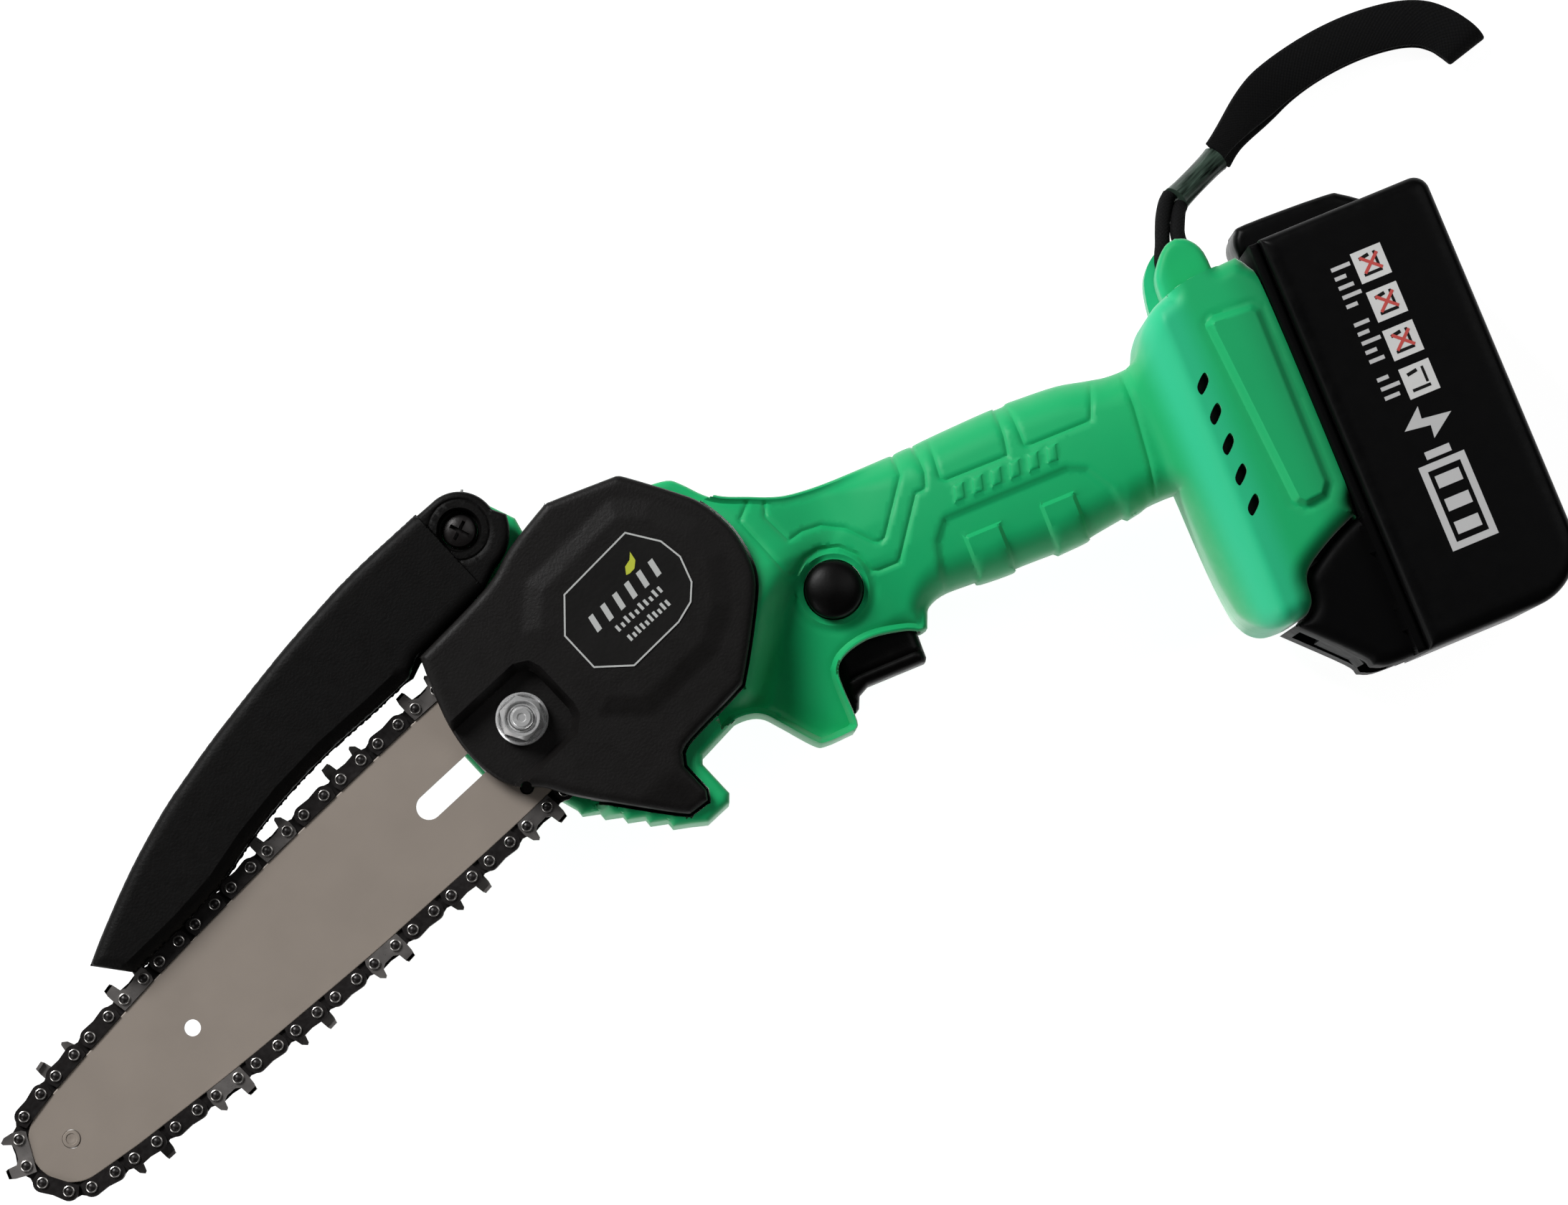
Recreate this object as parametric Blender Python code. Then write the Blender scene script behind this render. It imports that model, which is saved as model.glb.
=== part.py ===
"""A hand-held battery pruning chainsaw with a 6 inch bar, as an assembly of separate pieces.

The saw lies on its right side, on the motor cap and the battery. X runs along the bar, with the
nose at -X and the battery at +X. +Y is the saw's top side and +Z its left side, which carries the
chain cover. The origin is on the sprocket's axis, in the plane the saw rests on.

Every length in this file is in millimetres. MM turns it into Blender's metres when a mesh is made.
"grip" coordinates have the same origin, with x along the handle, which drops below the bar's axis.
"""

import math

import bmesh
import bpy
from mathutils import Matrix, Vector

MM = 0.001
GAP = 0.3                       # between pieces that touch

# The frame
GRIP_TILT = 20.5                # degrees that the handle's axis drops below the bar's
SPLIT = 37.5                    # height of the joint between the two housing halves
HEAD_LOW, HEAD_FACE = 24.0, 50.0
GRIP_LOW, GRIP_HIGH = 20.5, 54.5
BASE_LOW, BASE_HIGH = 6.0, 69.0
WALL = 3.0

# Bar and chain: quarter inch pitch, 37 drive links on a 6 inch bar
CHAIN_STEP = 6.35               # rivet to rivet
DRIVE_LINKS = 37
SPROCKET_TEETH = 7
NOSE_TEETH = 6
BAR_MID, BAR_THICK = 55.0, 3.0
NOSE_X, NOSE_RADIUS = -191.3, 10.7
BAR_HALF_WIDTHS = [(-180, 12.3), (-150, 14.9), (-125, 16.3), (-100, 17.3), (-60, 17.9), (-34, 17.4)]
BAR_TAIL = -22.0
RIVET_OFFSET = 2.2              # rivet line outside the bar's edge
CHAIN_WIDTH = 5.6
STUD_X = -39.4
TENSION_PIN = (-50.0, -13.0)
TENSION_HEIGHT = 46.3

# Gear train, module 0.8
MODULE = 0.8
GEAR_TEETH, PINION_TEETH = 36, 10
GEAR_CENTRES = MODULE * (GEAR_TEETH + PINION_TEETH) / 2
GEAR_LOW, GEAR_HIGH = 41.8, 46.2
SHAFT_RADIUS = 2.5
SPROCKET_LOW, SPROCKET_HIGH = 52.3, 57.7
PLATE_LOW, PLATE_HIGH = 38.6, 41.0

# Motor
CAN_RADIUS, CAN_WALL = 18.8, 1.5
CAN_LOW, CAN_HIGH = 9.4, 38.2
MOTOR_SHAFT_RADIUS = 1.6
BARREL_RADIUS = 22.0
CAP_HEIGHT = 8.0

# Guard
PIVOT = (-19.0, 44.9)
GUARD_LOW, GUARD_HIGH = 46.0, 64.0
GUARD_WALL = 2.5
BOSS_LOW, BOSS_HIGH = 50.4, 62.0

# Trigger and lock-off button, in grip coordinates
TRIGGER_HALF_WIDTH = 9.0
LOCK_CENTRE = (46.8, -13.3)
LOCK_RADIUS = 7.2
SWITCH_LOW, SWITCH_HIGH = 25.0, 43.0

# Battery, in grip coordinates
PACK_LEFT, PACK_RIGHT = 176.0, 220.0
PACK_BOTTOM, PACK_TOP = -84.0, 25.6
PACK_WIDTH = 75.0
TOE = 15.0                      # radius of the pack's lower outer corner
RIDGE_OUTLINE = [(176.2, 24), (176.2, 30), (178, 33), (199.5, 32.4), (204, 31), (211.5, 25.2), (211, 24)]
RIDGE_LOW, RIDGE_HIGH = 3.5, 34.0
LID_LEFT = 173.3
CELL_RADIUS, CELL_LENGTH = 9.1, 65.0
CELL_ROWS = (187.4, 206.3)
CELL_COLUMNS = [10.5 - 19.0 * i for i in range(5)]

# Strap, in grip coordinates
STRAP_PIN = (158.5, 30.3)
CORD_RADIUS = 1.9
SLEEVE_START, SLEEVE_END = (165.6, 46.0, 29.9), (178.8, 51.9, 21.1)

COLOURS = {
    "green_plastic": ((0.020, 0.470, 0.210), 0.45, 0.0),
    "black_plastic": ((0.010, 0.010, 0.011), 0.50, 0.0),
    "battery_plastic": ((0.010, 0.010, 0.011), 0.35, 0.0),
    "grey_plastic": ((0.100, 0.100, 0.105), 0.50, 0.0),
    "bar_steel": ((0.340, 0.310, 0.280), 0.38, 1.0),
    "bright_steel": ((0.600, 0.600, 0.600), 0.25, 1.0),
    "dark_steel": ((0.060, 0.060, 0.062), 0.40, 1.0),
    "aluminium": ((0.650, 0.650, 0.660), 0.40, 1.0),
    "copper": ((0.720, 0.330, 0.160), 0.35, 1.0),
    "red_insulation": ((0.500, 0.020, 0.020), 0.50, 0.0),
    "black_insulation": ((0.020, 0.020, 0.020), 0.50, 0.0),
    "cell_wrap": ((0.030, 0.170, 0.450), 0.40, 0.0),
    "board_green": ((0.010, 0.120, 0.040), 0.45, 0.0),
    "woven_black": ((0.012, 0.012, 0.012), 0.85, 0.0),
    "clear_sleeve": ((0.350, 0.420, 0.370), 0.20, 0.0),
    "badge": ((0.030, 0.030, 0.032), 0.35, 0.0),
}


# ---------------------------------------------------------------- shapes

def grip(x, y):
    """A point in grip coordinates, moved to the part's frame."""
    tilt = math.radians(GRIP_TILT)
    return (x * math.cos(tilt) + y * math.sin(tilt), y * math.cos(tilt) - x * math.sin(tilt))


def grip3(x, y, z):
    return (*grip(x, y), z)


def grip_outline(points):
    return [grip(x, y) for x, y in points]


def arc(centre, radius, start, end, steps):
    """Points along an arc, from one angle to the other, in degrees."""
    angles = [math.radians(start + (end - start) * i / steps) for i in range(steps + 1)]
    return [(centre[0] + radius * math.cos(a), centre[1] + radius * math.sin(a)) for a in angles]


def circle(centre, radius, sides=24):
    return arc(centre, radius, 0, 360, sides)[:-1]


def rectangle(left, bottom, right, top):
    return [(left, bottom), (right, bottom), (right, top), (left, top)]


def mesh_object(name, form, material=None, origin=(0, 0, 0)):
    """Makes the bmesh, which is in millimetres, into an object with its origin at a joint's axis."""
    bmesh.ops.recalc_face_normals(form, faces=form.faces)
    bmesh.ops.translate(form, verts=form.verts, vec=-Vector(origin))
    bmesh.ops.scale(form, verts=form.verts, vec=(MM, MM, MM))
    mesh = bpy.data.meshes.new(name)
    form.to_mesh(mesh)
    form.free()
    item = bpy.data.objects.new(name, mesh)
    item.location = Vector(origin) * MM
    bpy.context.scene.collection.objects.link(item)
    if material:
        mesh.materials.append(MATERIALS[material])
    else:
        item.hide_render = True
        item.display_type = "WIRE"
    return item


def prism_form(outline, low, high, chamfer=0.0, both_ends=False):
    """An outline raised from one height to another, with its upper rim chamfered."""
    form = bmesh.new()
    floor = form.faces.new([form.verts.new((x, y, low)) for x, y in outline])
    raised = bmesh.ops.extrude_face_region(form, geom=[floor])["geom"]
    top = [v for v in raised if isinstance(v, bmesh.types.BMVert)]
    bmesh.ops.translate(form, verts=top, vec=(0, 0, high - low))
    if chamfer:
        heights = (low, high) if both_ends else (high,)
        rims = [e for e in form.edges if {v.co.z for v in e.verts} <= set(heights)]
        rims = [e for e in rims if e.verts[0].co.z == e.verts[1].co.z]
        bmesh.ops.bevel(form, geom=rims, offset=chamfer, segments=1, affect="EDGES", clamp_overlap=True)
    return form


def prism(name, outline, low, high, material=None, origin=(0, 0, 0), chamfer=0.0, both_ends=False):
    return mesh_object(name, prism_form(outline, low, high, chamfer, both_ends), material, origin)


def grip_box(name, left, right, bottom, top, low, high, material=None, origin=(0, 0, 0), chamfer=0.0):
    outline = grip_outline(rectangle(left, bottom, right, top))
    return prism(name, outline, low, high, material, origin, chamfer, both_ends=True)


def turned(name, profile, centre, material=None, sides=24):
    """A profile of (radius, height) turned about a vertical axis. A closed profile makes a ring."""
    form = bmesh.new()
    rings = []
    for radius, height in profile:
        if radius == 0:
            rings.append([form.verts.new((*centre, height))] * sides)
        else:
            rings.append([form.verts.new((x, y, height)) for x, y in circle(centre, radius, sides)])
    for lower, upper in zip(rings, rings[1:] + rings[:1]):
        for i in range(sides):
            j = (i + 1) % sides
            corners = dict.fromkeys([lower[i], lower[j], upper[j], upper[i]])
            if len(corners) > 2:
                form.faces.new(corners)
    return mesh_object(name, form, material, (*centre, 0))


def tube_ring(name, centre, inner, outer, low, high, material, sides=24):
    profile = [(outer, low), (outer, high), (inner, high), (inner, low)]
    return turned(name, profile, centre, material, sides)


def rod(name, start, end, radius, material=None, sides=12, origin=(0, 0, 0)):
    """A round bar between two points."""
    form = bmesh.new()
    along = Vector(end) - Vector(start)
    turn = along.to_track_quat("Z", "Y").to_matrix().to_4x4()
    place = Matrix.Translation((Vector(start) + Vector(end)) / 2) @ turn
    bmesh.ops.create_cone(form, cap_ends=True, segments=sides, radius1=radius, radius2=radius,
                          depth=along.length, matrix=place)
    return mesh_object(name, form, material, origin)


def sweep(name, points, radius, material, sides=6, origin=(0, 0, 0)):
    """A round wire that follows a list of points."""
    form = bmesh.new()
    points = [Vector(p) for p in points]
    side = Vector((0, 0, 1))
    rings = []
    for i, point in enumerate(points):
        along = (points[min(i + 1, len(points) - 1)] - points[max(i - 1, 0)]).normalized()
        side = (side - along * side.dot(along)).normalized()
        up = along.cross(side)
        spokes = [math.tau * k / sides for k in range(sides)]
        ring = [point + radius * (side * math.cos(a) + up * math.sin(a)) for a in spokes]
        rings.append([form.verts.new(v) for v in ring])
    for near, far in zip(rings, rings[1:]):
        for k in range(sides):
            form.faces.new([near[k], near[(k + 1) % sides], far[(k + 1) % sides], far[k]])
    form.faces.new(rings[0])
    form.faces.new(rings[-1])
    return mesh_object(name, form, material, origin)


def coil_points(start, end, radius, turns, steps_per_turn=10):
    """A helix between two points, about the line that joins them."""
    along = Vector(end) - Vector(start)
    side = along.orthogonal().normalized()
    up = along.normalized().cross(side)
    count = int(turns * steps_per_turn)
    points = []
    for i in range(count + 1):
        angle = math.tau * i / steps_per_turn
        across = side * math.cos(angle) + up * math.sin(angle)
        points.append(Vector(start) + along * i / count + radius * across)
    return points


def smooth_route(points, steps):
    """Points read from a smooth curve through a route's own points, ends included."""
    points = [Vector(p) for p in points]
    ends = [points[0] * 2 - points[1], *points, points[-1] * 2 - points[-2]]
    route = []
    for a, b, c, d in zip(ends, ends[1:], ends[2:], ends[3:]):
        for i in range(steps):
            t = i / steps
            bend = 2 * a - 5 * b + 4 * c - d
            twist = 3 * b - a - 3 * c + d
            route.append((2 * b + (c - a) * t + bend * t * t + twist * t * t * t) / 2)
    return [*route, points[-1]]


def cord(name, points, radius, material, resolution=2):
    """A plain round tube for a cord, as a curve with a bevel and filled caps."""
    curve = bpy.data.curves.new(name, "CURVE")
    curve.dimensions = "3D"
    curve.bevel_depth = radius * MM
    curve.bevel_resolution = resolution
    curve.use_fill_caps = True
    line = curve.splines.new("POLY")
    line.points.add(len(points) - 1)
    for knot, point in zip(line.points, points):
        knot.co = (*(Vector(point) * MM), 1)
    curve.materials.append(MATERIALS[material])
    item = bpy.data.objects.new(name, curve)
    bpy.context.scene.collection.objects.link(item)
    return item


def boolean(item, others, operation):
    for other in others:
        step = item.modifiers.new(other.name, "BOOLEAN")
        step.operation = operation
        step.object = other
    return item


def cut(item, *others):
    return boolean(item, others, "DIFFERENCE")


def add(item, *others):
    return boolean(item, others, "UNION")


def gear_outline(centre, teeth, module, phase=0.0, slim=0.22):
    """A spur gear with straight-sided teeth. slim takes backlash off each tooth."""
    pitch = module * teeth / 2
    root, tip = pitch - 1.15 * module, pitch + 0.85 * module
    step = math.tau / teeth
    points = []
    for tooth in range(teeth):
        middle = phase + tooth * step
        for radius, share in ((root, -0.36), (tip, -slim + 0.08), (tip, slim - 0.08), (root, 0.36)):
            angle = middle + step * share
            points.append((centre[0] + radius * math.cos(angle), centre[1] + radius * math.sin(angle)))
    return points


def star_outline(centre, teeth, root, tip, phase=0.0):
    """A sprocket outline: blunt teeth with round-bottomed gaps made of straight runs."""
    step = math.tau / teeth
    points = []
    for tooth in range(teeth):
        for radius, share in ((root, -0.30), (tip, -0.10), (tip, 0.10), (root, 0.30)):
            angle = phase + step * (tooth + share)
            points.append((centre[0] + radius * math.cos(angle), centre[1] + radius * math.sin(angle)))
    return points


# ---------------------------------------------------------------- outlines

MOTOR_CENTRE = grip(GEAR_CENTRES, 0)


def jaw_teeth():
    """The serrated edge of the jaw under the bar, from its tip up to the bar."""
    tip, root, teeth = Vector((-26.5, -47.4)), Vector((-44.5, -25.0)), 5
    along = (root - tip) / teeth
    outward = Vector((along.y, -along.x)).normalized() * -1.3
    points = []
    for tooth in range(teeth):
        start = tip + along * tooth
        points += [tuple(start), tuple(start + along * 0.75 + outward)]
    return [*points, tuple(root)]


HEAD_OUTLINE = [
    (-56, -3), (-56, 4), (-54, 12), (-50.5, 22), (-46.5, 27), (-26, 28.6), (-12, 31.6), (1, 33.3),
    (18, 26.6), (24, 18.5), (28, 10), (29.5, 2), (28, -10), (20, -20.5), (8, -30), (0, -36),
    (-12.8, -36.9), (-14.4, -38.6), (-14.4, -48.3), (-16, -50), (-23, -50), *jaw_teeth(),
    (-47, -17), (-53, -11),
]

COVER_OUTLINE = [
    (-47.5, 28.2), (-50.8, 20), (-53.8, 11), (-55, 3), (-54.4, -5), (-52, -11), (-47, -16),
    (-42, -24), (-27, -43.4), (-24, -45.6), (-19.6, -46), (-18.2, -44), (-18.2, -36), (-16, -33),
    (-12, -32), (4, -31), (8, -29.5), (20, -20), (26.6, -13.5), (29.6, -6), (30.4, 1), (29.2, 9),
    (26.4, 15), (20, 26), (18.4, 28), (2, 34.5), (0, 34.8), (-13, 32.8), (-24, 29.6),
]

PLATEAU_OUTLINE = [
    (-23, -13), (-15, -20.5), (6, -20), (16, -14.5), (23, -4), (23.5, 6), (19, 17), (12, 23.5),
    (-15, 22.5), (-23.5, 15),
]

BADGE_OUTLINE = [
    (-17.8, -3), (-10.3, -9.4), (5, -9), (10.5, -7.4), (14, -4), (16.2, 2.5), (15.3, 8.5),
    (10.3, 16), (-11, 15), (-17.8, 7.5),
]

GRIP_OUTLINE = [
    (12, 29), (19, 28.2), (22, 26), (26, 21.5), (30, 18.5), (36, 16), (41, 14), (46, 12.8),
    (55, 12.2), (66, 12.5), (82, 12.9), (98, 13.8), (108, 13.7), (118, 13), (126, 11.2), (132, 10.2),
    (145, 10.2), (145, -23.2), (130, -23.2), (120, -24.6), (108, -25.9), (90, -25.6), (80, -24.8),
    (72, -24.4), (67.5, -26), (66, -28.5), (65, -30.8), (63, -31), (60, -29.5), (53, -28), (48, -28),
    (43, -29.5), (40.4, -32), (39.8, -36), (39.8, -45.6), (38.4, -47.6), (31, -47.8), (28, -46.4),
    (22, -39), (18.5, -35.2), (14, -34), (8, -34.6),
]

BASE_OUTLINE = [
    (135.8, 10.2), (138.5, 11.5), (141, 15.5), (144.5, 19.3), (149, 21.6), (157, 23.6), (170, 24.4),
    (172, 21), (173, 12), (173, -42), (172, -46), (165, -49), (158, -53), (155.6, -56), (155, -60),
    (154, -62.5), (151, -64.6), (144.5, -64.6), (140.5, -62.5), (138, -59), (137, -55), (136.1, -45),
    (135.8, -26),
]

LUG_OUTLINE = [
    (150.6, 20), (151, 27.5), (153.6, 32), (156.6, 34.9), (159.6, 35.7), (162.6, 34.2), (165, 29.8),
    (165.2, 20),
]

HUMP_OUTLINE = [
    (148.4, -65.6), (152.2, -65.1), (154.8, -63.2), (155.8, -60.2), (156.4, -56.5), (158.9, -54),
    (165.3, -50), (172.4, -46.9), (175.7, -46.5), (175.7, -83.7), (166.5, -83.4), (162.6, -82),
    (160.8, -78.6),
]

GUARD_OUTLINE = [
    (-158.8, 28), (-151.8, 19.2), (-135, 19.6), (-122, 20.8), (-109, 23.8), (-95, 25.9), (-80, 26.8),
    (-64, 26.4), (-52, 26.8), (-47.5, 29.4), (-30.5, 30.6), (-30.5, 55.5), (-50, 54.9), (-60, 54),
    (-80, 51.5), (-100, 48.2), (-120, 43.7), (-135, 38.7), (-150, 32.3),
]

GUARD_HOLLOW = [
    (-170, 22), (-158.8, 25.6), (-150, 29.9), (-135, 36.2), (-120, 41.2), (-100, 45.7), (-80, 49),
    (-60, 51.5), (-50, 52.4), (-30, 53), (-20, 53), (-20, 10), (-170, 10),
]


def bar_outline():
    upper = [(x, width) for x, width in BAR_HALF_WIDTHS]
    tail = [(BAR_TAIL - 3, 14.5), (BAR_TAIL, 10.0)]
    lower = [(x, -y) for x, y in reversed([*upper, *tail])]
    return [*arc((NOSE_X, 0), NOSE_RADIUS, 263, 97, 12), *upper, *tail, *lower]


def chain_route(offset):
    """The closed line that runs at this distance outside the rivet line."""
    sprocket = CHAIN_STEP / (2 * math.sin(math.pi / (2 * SPROCKET_TEETH)))
    radius = NOSE_RADIUS + RIVET_OFFSET + offset
    upper = [(x, width + RIVET_OFFSET + offset) for x, width in BAR_HALF_WIDTHS]
    lower = [(x, -y) for x, y in reversed(upper)]
    nose = arc((NOSE_X, 0), radius, 263, 97, 10)
    return [*nose, *upper, *arc((0, 0), sprocket + offset, 76, -76, 10), *lower]


def evenly_along(route, step, count):
    """Points and outward directions at equal steps along a closed line that runs clockwise."""
    corners = [Vector(p) for p in route]
    runs = list(zip(corners, corners[1:] + corners[:1]))
    found = []
    for i in range(count):
        left = i * step
        for start, end in runs:
            length = (end - start).length
            if left <= length:
                along = (end - start) / length
                found.append((start + along * left, Vector((-along.y, along.x))))
                break
            left -= length
    return found


# ---------------------------------------------------------------- drive

def make_motor():
    tube_outer, tube_inner = CAN_RADIUS, CAN_RADIUS - CAN_WALL
    can = [(tube_outer, CAN_LOW), (tube_outer, CAN_HIGH), (5.0, CAN_HIGH), (5.0, CAN_HIGH - CAN_WALL),
           (tube_inner, CAN_HIGH - CAN_WALL), (tube_inner, CAN_LOW)]
    turned("motor_can", can, MOTOR_CENTRE, "bright_steel", 32)
    tube_ring("motor_end_bell", MOTOR_CENTRE, 2.2, tube_inner - GAP, CAN_LOW, 12.8, "black_plastic", 32)
    for name, middle in (("magnet_upper", 90), ("magnet_lower", 270)):
        outer = arc(MOTOR_CENTRE, tube_inner - GAP, middle - 65, middle + 65, 10)
        inner = arc(MOTOR_CENTRE, 12.6, middle + 65, middle - 65, 10)
        prism(name, [*outer, *inner], 15.0, 35.6, "dark_steel")
    armature = prism("motor_armature", star_outline(MOTOR_CENTRE, 5, 7.5, 11.6), 16.5, 34.0, "copper",
                     origin=(*MOTOR_CENTRE, 0))
    cut(armature, prism("armature_bore", circle(MOTOR_CENTRE, MOTOR_SHAFT_RADIUS + GAP, 16), 10, 40))
    turned("motor_shaft", [(0, 3.4), (MOTOR_SHAFT_RADIUS, 3.4), (MOTOR_SHAFT_RADIUS, 47.0), (0, 47.0)],
           MOTOR_CENTRE, "bright_steel", 16)
    bore = prism("pinion_bore", circle(MOTOR_CENTRE, MOTOR_SHAFT_RADIUS + 0.2, 16), 3, 50)
    gap_faces_gear = math.radians(180 - GRIP_TILT) + math.pi / PINION_TEETH
    teeth = gear_outline(MOTOR_CENTRE, PINION_TEETH, MODULE, gap_faces_gear)
    cut(prism("motor_pinion", teeth, GEAR_LOW, GEAR_HIGH, "bright_steel", origin=(*MOTOR_CENTRE, 0)), bore)
    fan = prism("motor_fan", star_outline(MOTOR_CENTRE, 9, 5.5, 15.0), 5.4, 8.4, "black_plastic",
                origin=(*MOTOR_CENTRE, 0))
    add(fan, prism("fan_disc", circle(MOTOR_CENTRE, 14.0, 27), 4.4, 5.6))
    cut(fan, bore)


def make_motor_cap():
    outer, inner = BARREL_RADIUS, BARREL_RADIUS - 1.6
    profile = [(0, 0), (outer - 1.2, 0), (outer, 1.2), (outer, CAP_HEIGHT), (inner, CAP_HEIGHT),
               (inner, 2.4), (0, 2.4)]
    cap = turned("motor_cap", profile, MOTOR_CENTRE, "black_plastic", 40)
    for i in range(5):
        turn = math.radians(-95 + 38 * i)
        outward = Vector((math.cos(turn), math.sin(turn)))
        across = Vector((-outward.y, outward.x))
        middle = Vector(MOTOR_CENTRE) + outward * 11.5
        ends = [(5, 1.1), (-5, 1.1), (-5, -1.1), (5, -1.1)]
        slot = [tuple(middle + outward * a + across * b) for a, b in ends]
        cut(cap, prism(f"cap_vent_{i}", slot, -1, 4))


def make_drive():
    prism("drive_gear", gear_outline((0, 0), GEAR_TEETH, MODULE, math.radians(-GRIP_TILT)), GEAR_LOW,
          GEAR_HIGH, "dark_steel")
    bore = prism("drive_bore", circle((0, 0), SHAFT_RADIUS + 0.2, 16), 30, 65)
    cut(bpy.data.objects["drive_gear"], bore)
    teeth = star_outline((0, 0), SPROCKET_TEETH, 9.2, 11.9)
    cut(prism("drive_sprocket", teeth, SPROCKET_LOW, SPROCKET_HIGH, "bright_steel"), bore)
    turned("sprocket_shaft", [(0, PLATE_LOW), (SHAFT_RADIUS, PLATE_LOW), (SHAFT_RADIUS, 60.2), (0, 60.2)],
           (0, 0), "bright_steel", 16)
    ring = [*arc((0, 0), 4.6, 35, 325, 12), *arc((0, 0), SHAFT_RADIUS + 0.2, 325, 35, 12)]
    prism("sprocket_clip", ring, 58.2, 59.0, "dark_steel")
    tube_ring("front_bearing", (0, 0), SHAFT_RADIUS + 0.2, 6.0, 46.8, 50.0, "bright_steel")
    tube_ring("rear_bearing", (0, 0), SHAFT_RADIUS + 0.2, 5.0, PLATE_LOW, PLATE_HIGH, "bright_steel")


def gear_case_outline(gear_radius, motor_radius):
    """A rounded outline that takes in both the gear and the motor."""
    toward = -GRIP_TILT
    return [*arc((0, 0), gear_radius, toward + 84, toward + 276, 14),
            *arc(MOTOR_CENTRE, motor_radius, toward - 84, toward + 84, 14)]


def make_gear_plate():
    plate = prism("gear_plate", gear_case_outline(16.4, 18.6), PLATE_LOW, PLATE_HIGH, "aluminium")
    cut(plate, prism("plate_bearing_seat", circle((0, 0), 5.3), 30, 50),
        prism("plate_pinion_hole", circle(MOTOR_CENTRE, 5.6), 30, 50))


# ---------------------------------------------------------------- bar, chain, tensioner

def make_bar():
    low, high = BAR_MID - BAR_THICK / 2, BAR_MID + BAR_THICK / 2
    bar = prism("guide_bar", bar_outline(), low, high, "bar_steel")
    slot = [*arc((-71.0, 0), 3.25, 90, 270, 8), *arc((-33.0, 0), 3.25, -90, 90, 8)]
    cut(bar, prism("bar_slot", slot, 50, 60),
        prism("bar_hole", circle((-150.9, -0.2), 2.2, 16), 50, 60),
        prism("bar_tension_hole", circle(TENSION_PIN, 1.8, 16), 50, 60),
        prism("bar_rivet_hole", circle((NOSE_X, 0), 2.5, 16), 50, 60),
        prism("nose_groove", circle((NOSE_X, 0), 12.2, 28), BAR_MID - 0.75, BAR_MID + 0.75))
    turned("nose_rivet", [(0, low - 0.1), (2.2, low - 0.1), (2.2, high + 0.2), (0, high + 0.2)],
           (NOSE_X, 0), "bar_steel", 16)
    nose = prism("nose_sprocket", star_outline((NOSE_X, 0), NOSE_TEETH, 7.6, 9.6), BAR_MID - 0.45,
                 BAR_MID + 0.45, "bright_steel", origin=(NOSE_X, 0, 0))
    cut(nose, prism("nose_bore", circle((NOSE_X, 0), 2.5, 16), 50, 60))


def make_chain():
    low, high = BAR_MID - CHAIN_WIDTH / 2, BAR_MID + CHAIN_WIDTH / 2
    chain = prism("saw_chain", chain_route(2.4), low, high, "dark_steel")
    cut(chain, prism("chain_inside", chain_route(GAP - RIVET_OFFSET), low - 1, high + 1))
    rivets = evenly_along(chain_route(0), CHAIN_STEP, 2 * DRIVE_LINKS)
    for cutter in range(0, 2 * DRIVE_LINKS - 2, 4):
        place, outward = rivets[cutter]
        if place.x > -60:
            continue
        along = Vector((outward.y, -outward.x))
        corners = [(-2.4, 1.5), (2.4, 1.5), (2.4, 5.2), (-2.4, 5.2)]
        tooth = [tuple(place + along * a + outward * b) for a, b in corners]
        near_side = cutter % 8 == 0
        heights = (BAR_MID + 0.6, high) if near_side else (low, BAR_MID - 0.6)
        add(chain, prism(f"cutter_{cutter}", tooth, *heights))


def make_bar_clamp():
    face = rectangle(-55, -15.6, -24, 15.6)
    plate = prism("bar_plate", face, HEAD_FACE + GAP, 53.2, "bright_steel", chamfer=0.4)
    cut(plate, prism("plate_stud_hole", circle((STUD_X, 0), 3.3, 20), 45, 58),
        prism("plate_tension_slot", rectangle(-52.2, -14.9, -44.8, -11.1), 45, 58))
    stud = prism("bar_stud", rectangle(STUD_X - 4, -4, STUD_X + 4, 4), 38.4, 41.4, "bright_steel")
    add(stud, prism("stud_shank", circle((STUD_X, 0), 2.9, 20), 41, 71.2))
    nut = prism("bar_nut", circle((STUD_X, 0), 5.77, 6), 63, 68.6, "bright_steel", chamfer=0.5)
    add(nut, prism("nut_flange", circle((STUD_X, 0), 6.4, 28), 62.3, 63.8))
    cut(nut, prism("nut_thread", circle((STUD_X, 0), 3.1, 20), 60, 75))


def make_tensioner():
    x, y = TENSION_PIN
    block = prism("tensioner_pin", rectangle(x - 3, y - 2.8, x + 3, y + 2.8), 43.2, 49.6, "dark_steel")
    add(block, prism("pin_shank", circle(TENSION_PIN, 1.35, 12), 49, 57.4))
    cut(block, rod("pin_thread", (x - 8, y, TENSION_HEIGHT), (x + 8, y, TENSION_HEIGHT), 2.2))
    start, neck = (-57.6, y, TENSION_HEIGHT), (-54.6, y, TENSION_HEIGHT)
    screw = rod("tensioner_screw", start, neck, 2.7, "bright_steel", origin=(-50, y, TENSION_HEIGHT))
    add(screw, rod("screw_shank", (-55.2, y, TENSION_HEIGHT), (-33, y, TENSION_HEIGHT), 1.9))
    slot = rectangle(-60, y - 0.4, -56.6, y + 0.4)
    cut(screw, prism("screw_slot", slot, TENSION_HEIGHT - 4, TENSION_HEIGHT + 4))


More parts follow.
